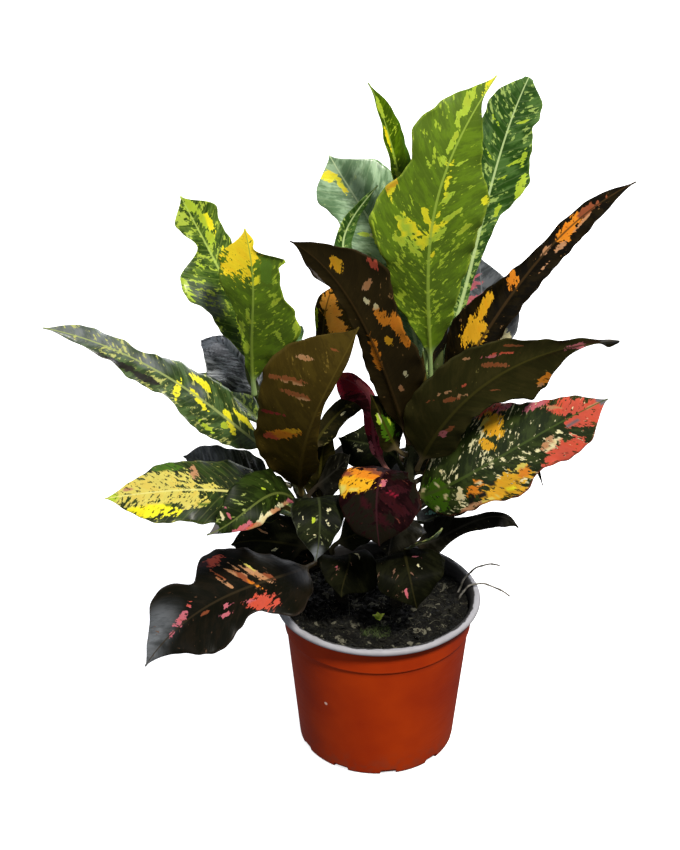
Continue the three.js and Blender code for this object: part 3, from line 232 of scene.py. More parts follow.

# Blotches on a leaf, by colour: share along, share across (left is positive), half length and half
# width in mm, and the turn of the length from the rib in degrees. The rows of soft grey cast are painted
# sheen: a reflection of the light painted into the blade's colour.
BLOTCHES = {
    "crown_front": dict(
        lime=[(0.48, -0.4, 15, 4, -35), (0.44, -0.55, 9, 2, -40), (0.41, -0.3, 9, 3, -40),
        (0.54, 0.35, 11, 2, 45), (0.47, 0.15, 8, 2, 40), (0.6, 0.2, 8, 2, 30), (0.9, -0.45, 11, 3, -10),
        (0.84, -0.3, 7, 2, -20), (0.72, 0.35, 6, 1, 40), (0.36, -0.7, 4, 1, -50), (0.3, 0.5, 5, 1, 50),
        (0.69, -0.55, 6, 1, -40), (0.76, -0.1, 14, 2, 0), (0.5, 0.7, 9, 2, 30)],
        yellow=[(0.49, -0.3, 11, 3, -40), (0.45, -0.25, 9, 2, -45), (0.53, -0.15, 8, 2, -30),
        (0.55, 0.12, 7, 1, 20), (0.64, 0.1, 8, 2, 0), (0.58, -0.85, 5, 2, 0), (0.62, 0.92, 5, 3, 0),
        (0.97, -0.1, 9, 3, 0), (0.7, 0.05, 9, 1, 0), (0.5, 0.15, 9, 2, 35), (0.44, -0.1, 11, 2, -20),
        (0.52, -0.05, 10, 2, -15), (0.48, -0.5, 8, 2, -40), (0.4, 0.1, 8, 1, 20)],
        gold=[(0.6, -0.93, 5, 3, 30)], amber=[(0.47, -0.2, 8, 1, -30)]),
    "crown_left": dict(
        yellow=[(0.93, 0.6, 7, 4, 60), (0.87, 0.15, 8, 2, 0)], lime=[(0.63, 0.35, 7, 2, 50),
        (0.56, 0.1, 6, 2, 20)], cream=[(0.61, 0.1, 5, 1, 50)]),
    "crown_right": dict(
        lime=[(0.62, -0.85, 12, 3, 0), (0.73, -0.8, 7, 2, 0), (0.7, -0.5, 6, 1, -45),
        (0.64, -0.3, 6, 1, -50), (0.7, 0.4, 6, 1, 50), (0.58, 0.3, 8, 2, 30), (0.82, 0.5, 6, 1, 50),
        (0.85, -0.5, 6, 1, -50), (0.52, -0.6, 7, 2, 0)]),
    "crown_sliver": dict(
        lime=[(0.6, 0.2, 24, 3, 0), (0.9, 0, 9, 2, 0)], yellow=[(0.78, 0.3, 9, 2, 0)],
        leaf=[(0.75, -0.9, 34, 2, 0)]),
    "maroon_raised": dict(
        gold=[(0.83, 0.3, 6, 4, 20), (0.47, 0.45, 4, 3, 0)], coral=[(0.77, 0.85, 5, 3, 0)],
        peach=[(0.71, 0.45, 6, 2, 60), (0.24, 0.3, 4, 2, 0)], orange=[(0.57, 0.6, 9, 5, 0),
        (0.53, 0.85, 11, 5, -20), (0.46, 0.9, 8, 4, 0), (0.42, -0.1, 15, 3, 5)],
        cream=[(0.66, 0.3, 3, 2, 0), (0.62, 0.5, 3, 2, 0), (0.3, 0.5, 3, 2, 0)],
        # grey here: a painted highlight along the folded right edge.
        grey=[(0.82, -0.9, 26, 1, 0)]),
    "inner_orange": dict(
        apricot=[(0.78, -0.35, 22, 9, 40), (0.9, -0.1, 10, 6, 0)], lime=[(0.75, 0.9, 12, 2, 0)]),
    "pink_back": dict(
        pink=[(0.77, 0.45, 11, 3, -70), (0.66, 0.25, 12, 4, -60), (0.58, 0.6, 7, 2, -60),
        (0.85, 0.2, 6, 1, -60)], cream=[(0.45, -0.8, 6, 4, 0)]),
    "orange_raised": dict(
        gold=[(0.27, 0.3, 12, 9, 0), (0.36, 0.5, 14, 4, 10)], orange=[(0.49, 0.5, 7, 4, 40),
        (0.74, 0, 14, 5, 10)], peach=[(0.63, 0.1, 5, 2, 0), (0.59, -0.5, 5, 1, 0), (0.78, -0.3, 10, 1, 8),
        (0.68, -0.4, 5, 2, 0)], brick=[(0.82, 0.2, 12, 3, 0)]),
    "lime_left": dict(
        yellow=[(0.8, -0.5, 8, 3, 0), (0.6, -0.6, 6, 3, 0)], lime=[(0.84, -0.3, 9, 3, 0),
        (0.73, -0.3, 6, 3, 0), (0.93, -0.3, 8, 4, 0), (0.57, 0.92, 11, 3, 0), (0.62, 0.35, 6, 2, 50),
        (0.47, -0.2, 7, 3, 0), (0.22, 0, 9, 4, 0), (0.35, -0.5, 7, 2, 0)],
        painted_sheen=[(0.44, 0.7, 22, 13, 20)]),
    "yellow_block": dict(
        amber=[(0.9, -0.35, 22, 15, 0), (0.99, 0, 14, 9, 0), (0.79, -0.7, 9, 8, 0)],
        lime=[(0.38, -0.9, 8, 4, 0), (0.47, 0, 5, 2, 60), (0.5, -0.3, 5, 2, 0), (0.5, 0.88, 9, 2, 0),
        (0.42, 0.6, 7, 2, -30), (0.28, -0.6, 7, 3, 0), (0.62, 0.6, 6, 2, 40)],
        yellow=[(0.72, 0.1, 6, 2, 40)], leaf=[(0.78, 0.5, 12, 5, 0)]),
    "long_left": dict(
        yellow=[(0.46, 0.3, 9, 3, 90), (0.37, -0.6, 10, 3, -10), (0.35, 0.1, 13, 3, -20),
        (0.2, 0, 10, 4, -50), (0.13, -0.6, 14, 3, 0)], lime=[(0.22, 0.3, 4, 3, 0), (0.3, 0.75, 8, 2, 0)],
        painted_sheen=[(0.38, -0.15, 12, 8, 0), (0.85, -0.3, 50, 12, 0), (0.6, -0.3, 24, 8, 10)],
        black=[(0.72, 0.85, 44, 3, 0)]),
    "necked_right": dict(
        brick=[(0.56, -0.3, 9, 2, 35), (0.64, -0.7, 7, 1, 30), (0.36, -0.25, 8, 2, 30),
        (0.24, 0.35, 4, 2, 20), (0.5, 0.4, 5, 1, 35), (0.3, -0.6, 4, 1, 30)],
        coral=[(0.6, -0.55, 9, 1, 30), (0.43, -0.3, 5, 1, 20)], pink=[(0.57, -0.55, 6, 1, 25),
        (0.2, 0.2, 4, 4, 0), (0.85, 0, 8, 3, 0)], peach=[(0.4, -0.15, 6, 1, 35), (0.37, -0.45, 6, 1, 30),
        (0.68, 0.85, 4, 2, 0), (0.5, -0.8, 3, 1, 30)], orange=[(0.71, 0.78, 8, 4, 0)],
        # grey here: painted sheen at the tip.
        grey=[(0.96, 0, 9, 4, 0)], rust=[(0.9, 0, 9, 4, 0)]),
    "red_yellow_right": dict(
        coral=[(0.57, 0.95, 17, 3, 0), (0.84, 0.5, 14, 7, -30), (0.9, -0.25, 19, 9, 0),
        (0.76, -0.75, 19, 7, 5)], pink=[(0.6, 0.9, 12, 2, 0), (0.73, 0.95, 12, 3, 0)],
        gold=[(0.52, 0.6, 9, 9, 0), (0.46, 0.35, 8, 4, -50), (0.46, -0.68, 20, 9, 0)],
        straw=[(0.5, 0.75, 7, 2, 0), (0.54, -0.45, 9, 2, 0), (0.38, -0.92, 12, 1, 0)],
        peach=[(0.8, 0.62, 9, 2, -30), (0.92, 0.05, 13, 1, 0), (0.7, -0.35, 6, 3, 30),
        (0.28, -0.9, 14, 2, 0)], cream=[(0.72, -0.45, 8, 2, 20), (0.25, -0.5, 7, 3, 70),
        (0.36, -0.35, 10, 1, 10), (0.1, -0.3, 3, 2, 0), (0.15, 0.15, 3, 2, 0), (0.18, -0.3, 3, 2, 40),
        # grey here: painted sheen near and at the tip.
        (0.06, 0.3, 3, 2, 0), (0.12, -0.75, 3, 2, 20), (0.2, 0.4, 3, 2, -30)], grey=[(0.84, -0.2, 8, 2, 0),
        (0.99, 0, 7, 6, 0)], yellow=[(0.47, -0.75, 9, 4, 0)], orange=[(0.33, -0.45, 8, 5, 0),
        (0.55, -0.65, 7, 4, 20)], black=[(0.41, -0.5, 4, 3, 30), (0.51, -0.7, 3, 2, 0),
        (0.3, -0.65, 5, 3, 70), (0.35, -0.75, 5, 2, 0), (0.45, -0.85, 3, 1, 0)],
        leaf=[(0.12, -0.2, 16, 13, 0)]),
    "olive_front": dict(
        peach=[(0.8, -0.6, 6, 2, 80), (0.69, -0.5, 9, 1, 80), (0.64, -0.3, 5, 1, 80)],
        brick=[(0.7, -0.6, 17, 2, 80), (0.65, -0.45, 10, 2, 85), (0.88, -0.3, 5, 1, 80)],
        red=[(0.53, -0.8, 10, 2, 85)], gold=[(0.46, -0.35, 8, 3, 60)], orange=[(0.43, -0.48, 12, 5, 60)],
        coral=[(0.4, -0.66, 6, 4, 70)]),
    "pale_yellow": dict(
        straw=[(0.76, -0.15, 32, 16, 0), (0.6, 0.3, 14, 9, 0), (0.48, -0.1, 9, 3, 0)],
        yellow=[(0.8, 0.7, 24, 6, 0)], peach=[(0.88, -0.45, 6, 3, 0), (0.55, -0.65, 3, 9, 0)],
        dusk=[(0.14, 0, 30, 26, 0)], leaf=[(0.68, -0.85, 14, 4, 0), (0.66, 0.5, 22, 1, 0)],
        lime=[(0.97, 0, 7, 4, 0)]),
    "cream_margin": dict(
        pink=[(0.26, 0.97, 11, 3, 0), (0.84, 0.95, 9, 3, 0), (0.83, -0.5, 6, 1, 80)],
        peach=[(0.36, 0.98, 11, 3, 0), (0.56, 0.98, 11, 3, 0), (0.75, 0.98, 10, 3, 0)],
        cream=[(0.46, 0.97, 11, 3, 0), (0.66, 0.97, 11, 3, 0), (0.87, -0.6, 6, 1, 80)],
        # grey here: painted sheen at the tip.
        coral=[(0.8, 1, 8, 1, 0)], grey=[(0.97, 0, 8, 5, 0)], lime=[(0.45, 0.2, 5, 1, 30),
        (0.55, -0.3, 4, 1, -30)]),
    "black_left": dict(painted_sheen=[(0.84, -0.4, 24, 16, 0)], leaf=[(0.5, 0.6, 22, 6, 0)]),
    "coral_low": dict(
        coral=[(0.36, 0.72, 11, 6, -20), (0.35, 0.66, 9, 7, 0), (0.47, -0.8, 8, 4, 0),
        (0.66, -0.3, 4, 1, 20)], pink=[(0.4, 0.55, 5, 2, -20), (0.5, 0.25, 5, 2, 0), (0.54, 0.45, 5, 2, 0),
        (0.72, -0.1, 8, 3, 30), (0.79, -0.05, 8, 2, 30)], peach=[(0.42, -0.42, 9, 1, -60),
        (0.4, -0.55, 9, 1, -62), (0.46, -0.2, 8, 1, -60), (0.34, -0.35, 11, 1, -60),
        (0.3, -0.2, 12, 2, -60)], orange=[(0.36, -0.1, 9, 1, -55)], brick=[(0.38, -0.25, 9, 2, -58),
        (0.48, -0.45, 8, 1, -60), (0.26, -0.1, 6, 2, -50), (0.62, 0.1, 4, 1, 0)],
        straw=[(0.33, -0.5, 9, 1, -60)], painted_sheen=[(0.88, -0.95, 34, 20, 0), (1, 0, 26, 18, 0)],
        rust=[(0.52, -0.85, 9, 3, 0)]),
    "banded_front": dict(
        black=[(0.76, -0.55, 18, 13, 10), (0.93, 0, 11, 15, 0), (0.62, -0.15, 8, 6, 20),
        (0.8, 0.35, 6, 5, 40), (0.35, 0.6, 9, 6, 0), (0.55, 0.95, 12, 4, 0)],
        gold=[(0.5, -0.55, 14, 8, 90), (0.58, -0.85, 4, 2, 0)], orange=[(0.42, -0.5, 15, 5, 90)],
        brick=[(0.36, -0.3, 9, 4, 90), (0.44, -0.95, 8, 3, 90)], straw=[(0.55, -0.6, 6, 2, 90),
        (0.54, -0.9, 5, 3, 90)], pink=[(0.48, 0.12, 4, 3, 0)], rust=[(0.62, 0.25, 9, 4, 70),
        (0.72, 0.5, 9, 4, 60), (0.55, 0.5, 9, 4, 80), (0.8, 0.2, 9, 4, 60), (0.66, -0.3, 8, 4, 40)],
        red=[(0.6, 0.4, 6, 1, 50)]),
    "speckled_front": dict(
        cream=[(0.57, 0.35, 2, 2, 0), (0.65, -0.6, 3, 1, 0), (0.68, 0.35, 4, 1, 30),
        (0.78, -0.45, 1, 5, 0)], painted_sheen=[(0.97, 0, 12, 7, 0)], lime=[(0.66, -0.25, 3, 1, 0)]),
    "red_arch": dict(
        red=[(0.86, 0.3, 14, 8, 0), (0.36, 0.5, 9, 4, 0)], pink=[(0.7, -0.3, 14, 3, 0),
        (0.2, 0.6, 8, 2, 0), (0.5, -0.4, 8, 2, 0)], coral=[(0.95, -0.2, 8, 4, 0)]),
    "dark_inner": dict(
        red=[(0.5, -0.75, 8, 6, 0)], pink=[(0.46, -0.6, 4, 3, 0)], cream=[(0.7, 0.3, 4, 1, 0)]),
    "red_inner": dict(cream=[(0.16, 0.5, 4, 1, 0), (0.12, 0.1, 4, 1, 0), (0.6, -0.3, 3, 1, 0)]),
    "olive_inner": dict(
        leaf=[(0.45, -0.1, 14, 7, 0)], lime=[(0.62, 0.4, 6, 2, 0), (0.5, -0.4, 7, 2, 0)],
        cream=[(0.62, 0.2, 5, 1, 0)]),
    "soil_left": dict(cream=[(0.45, 0.3, 5, 1, 30)], pink=[(0.7, -0.4, 3, 1, 0)]),
    "soil_right": dict(
        cream=[(0.5, 0.3, 5, 1, 30)], pink=[(0.35, 0.3, 7, 1, 80), (0.8, -0.3, 4, 1, 0)]),
    "green_low": dict(cream=[(0.4, 0.3, 5, 1, 30)], peach=[(0.6, -0.4, 5, 1, -30)]),
    "small_pale": dict(cream=[(0.5, 0, 7, 3, 0)]),
    "green_middle": dict(teal=[(0.5, 0.3, 10, 5, 0)]),
}


def linear(code):
    """An sRGB hex colour as linear red, green, blue and full alpha."""
    shares = [int(code[i:i + 2], 16) / 255 for i in (1, 3, 5)]
    return tuple(s / 12.92 if s <= 0.04045 else ((s + 0.055) / 1.055) ** 2.4 for s in shares) + (1.0,)


def add_node(tree, kind, sockets=None, out=0, **settings):
    """Adds a node with its settings, and values or links for its inputs; gives one of its outputs."""
    is_shader = not kind.startswith(("Geometry", "Function", "NodeGroup"))
    made = tree.nodes.new("ShaderNode" + kind if is_shader else kind)
    for key, value in settings.items():
        setattr(made, key, value)
    for key, value in (sockets or {}).items():
        if isinstance(value, bpy.types.NodeSocket):
            tree.links.new(value, made.inputs[key])
        else:
            made.inputs[key].default_value = value
    return made.outputs[out] if len(made.outputs) else made


def new_material(name):
    """A material with an empty tree, and the function that adds nodes to it."""
    material = bpy.data.materials.new(name)
    material.use_nodes = True
    material.node_tree.nodes.clear()
    return material, functools.partial(add_node, material.node_tree)


# Settings that many nodes share: a mix of two colours, and a map with soft ends.
MIX = dict(out=2, data_type="RGBA")
SOFT = dict(interpolation_type="SMOOTHSTEP")


def unit(rows):
    """Vectors of the same directions, one long."""
    return rows / np.linalg.norm(rows, axis=-1, keepdims=True)


def smooth(values, low, high):
    """From 0 at low to 1 at high, with soft ends."""
    share = np.clip((values - low) / (high - low), 0, 1)
    return share * share * (3 - 2 * share)


def full_turn(count):
    """The angles of that many points set evenly round a circle."""
    return np.linspace(0, 2 * math.pi, count, endpoint=False)


def on_curve(path, share):
    """The point at a share of a quadratic curve, and the curve's direction there."""
    a, b, c = np.array(path, float)
    point = (1 - share) ** 2 * a + 2 * share * (1 - share) * b + share * share * c
    return point, unit(2 * (1 - share) * (b - a) + 2 * share * (c - b))


def level_frame(along):
    """Two directions square to a path, one of them as close to +Y as it can be."""
    across = unit(np.array([0.0, 1.0, 0.0]) - along * along[:, 1:2])
    return across, np.cross(across, along)


def set_round(centre, side, x, up, z):
    """Rings of points round a path, from their places in the frame of each row."""
    return centre[:, None, :] + side[:, None, :] * x[..., None] + up[:, None, :] * z[..., None]


def stem_point(stem, share):
    """The point, direction and radius of a stem at a share of its length."""
    path, radii = STEMS[stem]
    point, along = on_curve(path, share)
    return point, along, radii[0] + (radii[1] - radii[0]) * share


def leaf_root(leaf):
    """Where the stalk starts, clear of the bark."""
    point, along, radius = stem_point(leaf.stem, leaf.share)
    turn = math.radians(leaf.bearing)
    out = np.array([math.cos(turn), math.sin(turn), 0.0])
    out = unit(out - along * (out @ along))
    lean = unit(np.array(leaf.third, float) - point)
    sine = math.sqrt(max(0.0, 1 - (lean @ out) ** 2))
    return point + out * (radius + SEAT_GAP + STALK_RADIUS * sine)


def rib(leaf, distances_of):
    """Points, directions and frames of the rib at the distances that distances_of(length) gives."""
    root = leaf_root(leaf)
    third, beyond, tip = np.array([leaf.third, leaf.beyond, leaf.tip], float)
    first = (-5 * root + 18 * third - 9 * beyond + 2 * tip) / 6
    second = (2 * root - 9 * third + 18 * beyond - 5 * tip) / 6
    t = np.linspace(0, 1, RIB_STEPS + 1)[:, None]
    points = (1 - t) ** 3 * root + 3 * t * (1 - t) ** 2 * first
    points = points + 3 * t * t * (1 - t) * second + t ** 3 * tip
    slopes = 3 * (1 - t) ** 2 * (first - root) + 6 * t * (1 - t) * (second - first)
    slopes += 3 * t * t * (tip - second)
    run = np.concatenate([[0], np.cumsum(np.linalg.norm(np.diff(points, axis=0), axis=1))])
    distances, shares = distances_of(run[-1])
    place = np.stack([np.interp(distances, run, points[:, k]) for k in range(3)], axis=1)
    along = unit(np.stack([np.interp(distances, run, slopes[:, k]) for k in range(3)], axis=1))
    turn = math.radians(leaf.bearing)
    level = np.array([-math.sin(turn), math.cos(turn), 0.0])
    flat = unit(level - along * (along @ level)[:, None])
    up = np.cross(along, flat)
    roll = math.radians(leaf.roll)
    side = flat * np.cos(roll) + up * np.sin(roll)
    normal = up * np.cos(roll) - flat * np.sin(roll)
    return place, along, side, normal, run[-1], distances, shares


def half_width(widths, shares):
    """Half widths at the shares of the blade, on a smooth curve through those at its eighths."""
    knots = np.array([STALK_RADIUS, *widths, 0.0])
    x = np.clip(shares, 0, 1) * (len(knots) - 1)
    i = np.minimum(x.astype(int), len(knots) - 2)
    f = x - i
    a, b, c, d = (knots[np.clip(i + k, 0, len(knots) - 1)] for k in (-1, 0, 1, 2))
    bend = 2 * a - 5 * b + 4 * c - d + f * (3 * b - 3 * c + d - a)
    return np.maximum(b + 0.5 * f * (c - a + f * bend), THINNEST)


# The blades: sizes in mm, lean and curve of the side veins, the rows and columns of points, and the
# step through the noise from one leaf's colours to the next.
THINNEST = 0.6
VEIN_SPACING = 6.0
VEIN_LEAN = 0.55
VEIN_CURVE = 0.011
BLADE_THICKNESS = 0.6
RIB_HEIGHT = 1.2
RIPPLE_LENGTH = 21
RIPPLE_HEIGHT = 0.9
RIDGE_HEIGHT = 0.25
MARGIN_THINNING = 0.45
WIDENING = 12
FOOT_SWELL = 0.18
FOOT_OVERRUN = 0.3
TIP_OVERRUN = 0.6
ROW_STEP = 1.7
FEWEST_ROWS = 36
RIB_STEPS = 1200
STALK_ROWS = 10
ACROSS = 24
NOISE_STEP = 0.37


def blade_surface(short, leaf, seed):
    """Rings of points round a leaf from the foot of its stalk to its tip, with their blade places."""
    rng = np.random.default_rng(seed)

    def stations(length):
        count = max(FEWEST_ROWS, int((length - leaf.stalk) / ROW_STEP))
        shares = np.concatenate([np.zeros(STALK_ROWS), np.linspace(0, 1, count)])
        bare = np.linspace(0, leaf.stalk, STALK_ROWS + 1)[:-1]
        blade = leaf.stalk + shares[STALK_ROWS:] * (length - leaf.stalk)
        return np.concatenate([bare, blade]), shares

    centre, along, side, normal, length, distances, shares = rib(leaf, stations)
    blade_length = length - leaf.stalk
    left = half_width(leaf.left, shares)
    right = half_width(leaf.right, shares)
    jitter = [rng.uniform(0, 2 * math.pi, 6) for _ in range(2)]
    widths = []
    run = shares * blade_length
    for which, share, spread, out in MARGIN_SHAPE.get(short, ()):
        side_width = left if which > 0 else right
        side_width += out * np.exp(-((run - share * blade_length) / spread) ** 2)
        np.maximum(side_width, THINNEST, out=side_width)
    for base, phase in ((left, jitter[0]), (right, jitter[1])):
        wobble = 0.45 * np.sin(run / 3.1 + phase[0]) + 0.35 * np.sin(run / 1.7 + phase[1])
        widths.append(base + wobble * smooth(base, 4, 14))
    columns = np.linspace(1, -1, ACROSS + 1)
    columns = np.sign(columns) * np.abs(columns) ** 0.9
    v = np.concatenate([columns, columns[::-1]])
    face = np.concatenate([np.ones(ACROSS + 1), np.zeros(ACROSS + 1)])
    across_share = np.abs(v)[None, :]
    is_left = (v >= 0)[None, :]
    width = np.where(is_left, widths[0][:, None], widths[1][:, None])
    fold = math.radians(leaf.fold)
    height, count, phase = leaf.wave
    ease = (np.minimum(1, 6 * shares) * np.minimum(1, 5 * (1 - shares)))[:, None]
    lag = np.where(is_left, 0.0, WAVE_LAG)
    u = shares[:, None]
    wave = height * ease * np.sin(2 * math.pi * (count * u + phase) + lag) * across_share ** 2
    ripples = max(3, round(blade_length / RIPPLE_LENGTH))
    ripple_phase = np.where(is_left, jitter[0][2], jitter[1][2])
    ripple = RIPPLE_HEIGHT * ease * np.sin(2 * math.pi * ripples * u + ripple_phase + 1.5 * np.sin(5 * u))
    ripple = ripple * across_share ** 4
    across = width * across_share
    vein = u * blade_length - VEIN_LEAN * across - VEIN_CURVE * across ** 2
    pucker = PUCKER.get(short, PLAIN_PUCKER) * np.cos(2 * math.pi * vein / VEIN_SPACING)
    pucker = pucker * across_share * (1 - across_share ** 4) * ease
    lift = width * (np.sin(fold) * across_share - MARGIN_DROOP * across_share ** 2) + wave + ripple - pucker
    sideways = width * v[None, :] * np.cos(fold)
    margin = 0.5 * BLADE_THICKNESS * (1 - MARGIN_THINNING * across_share ** 6)
    keel = RIB_HEIGHT * (1 - u) ** 0.8 * np.exp(-(sideways / 1.3) ** 2)
    ridge = RIDGE_HEIGHT * (1 - u) * np.exp(-(sideways / 0.9) ** 2)
    blade_up = lift + np.where(face[None, :] > 0.5, margin + ridge, -margin - keel)
    half_turn = np.linspace(0, math.pi, ACROSS + 1)
    turns = np.concatenate([half_turn, np.linspace(math.pi, 2 * math.pi, ACROSS + 1)])
    swell = 1 + FOOT_SWELL * np.exp(-(distances / 5.0) ** 2)[:, None]
    round_side = STALK_RADIUS * np.cos(turns)[None, :] * swell
    round_up = STALK_RADIUS * np.sin(turns)[None, :] * swell
    spread = smooth(shares * blade_length, 0, WIDENING)[:, None]
    x = round_side + (sideways - round_side) * spread
    z = round_up + (blade_up - round_up) * spread
    points = set_round(centre, side, x, normal, z)
    zeros = np.zeros_like(x)
    places = dict(
        along=u * blade_length + zeros, across=across * np.sign(v)[None, :] + zeros, vein=vein + zeros,
        reach=across_share * spread + zeros, share=u + zeros, face=face[None, :] + zeros)
    return points, places, [centre[0] - along[0] * FOOT_OVERRUN, centre[-1] + along[-1] * TIP_OVERRUN]


def blotch_field(marks, places, blade_length):
    """How deep each point lies in its nearest blotch, from 1 at the middle to -1 outside, the colour of
    that blotch, and the strength of the painted sheen, a soft grey reflection painted on the blade."""
    field = np.full(places["along"].shape, -1.0)
    painted_sheen = np.zeros(places["along"].shape)
    colour = np.zeros(places["along"].shape + (3,))
    rows = [(name, *place) for name, group in marks.items() for place in group]
    for name, share, across_share, long, wide, turn in rows:
        row = int(np.argmin(np.abs(places["share"][:, 0] - share)))
        edge = 0 if across_share >= 0 else ACROSS
        middle = abs(across_share) * places["across"][row, edge]
        x = places["along"] - share * blade_length
        y = places["across"] - middle
        c, s = math.cos(math.radians(turn)), math.sin(math.radians(turn))
        depth = 1 - np.hypot((x * c + y * s) / long, (y * c - x * s) / wide)
        # A soft grey cast is painted sheen, a reflection of the light, and is kept apart from the blotches.
        if name == "painted_sheen":
            painted_sheen = np.maximum(painted_sheen, smooth(depth, 0, 0.8))
            continue
        nearer = depth > field
        field[nearer] = depth[nearer]
        colour[nearer] = linear(BLOTCH_COLOURS[name])[:3]
    return np.clip(field, -1, 1), colour, painted_sheen


def mesh_object(name, points, faces, materials, smooth_faces=True):
    """A mesh object at the origin, with its faces pointing outwards."""
    mesh = bpy.data.meshes.new(name)
    mesh.from_pydata([tuple(p) for p in points], [], faces)
    if smooth_faces:
        mesh.polygons.foreach_set("use_smooth", [True] * len(mesh.polygons))
    for material in materials:
        mesh.materials.append(material)
    mesh.update()
    made = bpy.data.objects.new(name, mesh)
    bpy.context.scene.collection.objects.link(made)
    return made


def place_piece(piece, slot, *nodes):
    """Ties a piece to the root body, and hides the solids of the nodes that it stands for. The slot is not
    used.
    """
    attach(piece, "root")
    if nodes:
        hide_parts(*nodes)
    return piece


def ring_faces(rows, size, foot, tip):
    """Faces between rings of points, with a fan at each end."""
    i = np.arange(rows - 1)[:, None] * size
    j = np.arange(size)[None, :]
    k = (j + 1) % size
    quads = np.stack([i + j, i + k, i + size + k, i + size + j], axis=-1).reshape(-1, 4)
    last = (rows - 1) * size
    faces = [tuple(q) for q in quads.tolist()]
    faces += [(foot, (n + 1) % size, n) for n in range(size)]
    faces += [(tip, last + n, last + (n + 1) % size) for n in range(size)]
    return faces


def ringed(name, rings, ends, materials, smooth_faces=True):
    """A closed mesh through rings of points and an end point on each side of them."""
    rows, size = rings.shape[:2]
    points = np.concatenate([rings.reshape(-1, 3), ends]) * MM
    faces = ring_faces(rows, size, rows * size, rows * size + 1)
    return mesh_object(name, points, faces, materials, smooth_faces)


def set_attribute(mesh, name, kind, values):
    """Gives each point of a mesh a value that its material reads."""
    layer = mesh.attributes.new(name, kind, "POINT")
    key = {"FLOAT": "value", "FLOAT_VECTOR": "vector", "FLOAT_COLOR": "color"}[kind]
    layer.data.foreach_set(key, np.asarray(values, np.float32).ravel())


def make_leaf(short, material, slot, seed):
    """A leaf in the place of its node, with its places on the blade and its marks as attributes."""
    points, places, ends = blade_surface(short, LEAVES[short], seed)
    blade_length = places["along"].max()
    field, colour, painted_sheen = blotch_field(BLOTCHES.get(short, {}), places, blade_length)
    piece = ringed("blade_" + short, points, ends, [material])
    closed = lambda grid, at_foot, at_tip: np.concatenate([grid.ravel(), [at_foot, at_tip]])
    along = closed(places["along"], 0, blade_length) * MM
    across = closed(places["across"], 0, 0) * MM
    vein = closed(places["vein"], 0, blade_length) * MM
    own_noise = np.full(len(along), seed * NOISE_STEP)
    vectors = {"blade_place": (along, across, closed(places["reach"], 0, 0)),
               "vein_place": (vein, across, own_noise)}
    for name, columns in vectors.items():
        set_attribute(piece.data, name, "FLOAT_VECTOR", np.stack(columns, axis=1))
    # The grey cast's strength goes to the material as painted sheen.
    numbers = {"upper_face": (places["face"], 1, 1), "share": (places["share"], 0, 1),
               "blotch_depth": (field, -1, -1), "painted_sheen": (painted_sheen, 0, 0)}
    for name, values in numbers.items():
        set_attribute(piece.data, name, "FLOAT", closed(*values))
    hues = np.concatenate([colour.reshape(-1, 3), np.zeros((2, 3))])
    hues = np.concatenate([hues, np.ones((len(hues), 1))], axis=1)
    set_attribute(piece.data, "blotch_colour", "FLOAT_COLOR", hues)
    return place_piece(piece, slot, "leaf_" + short)


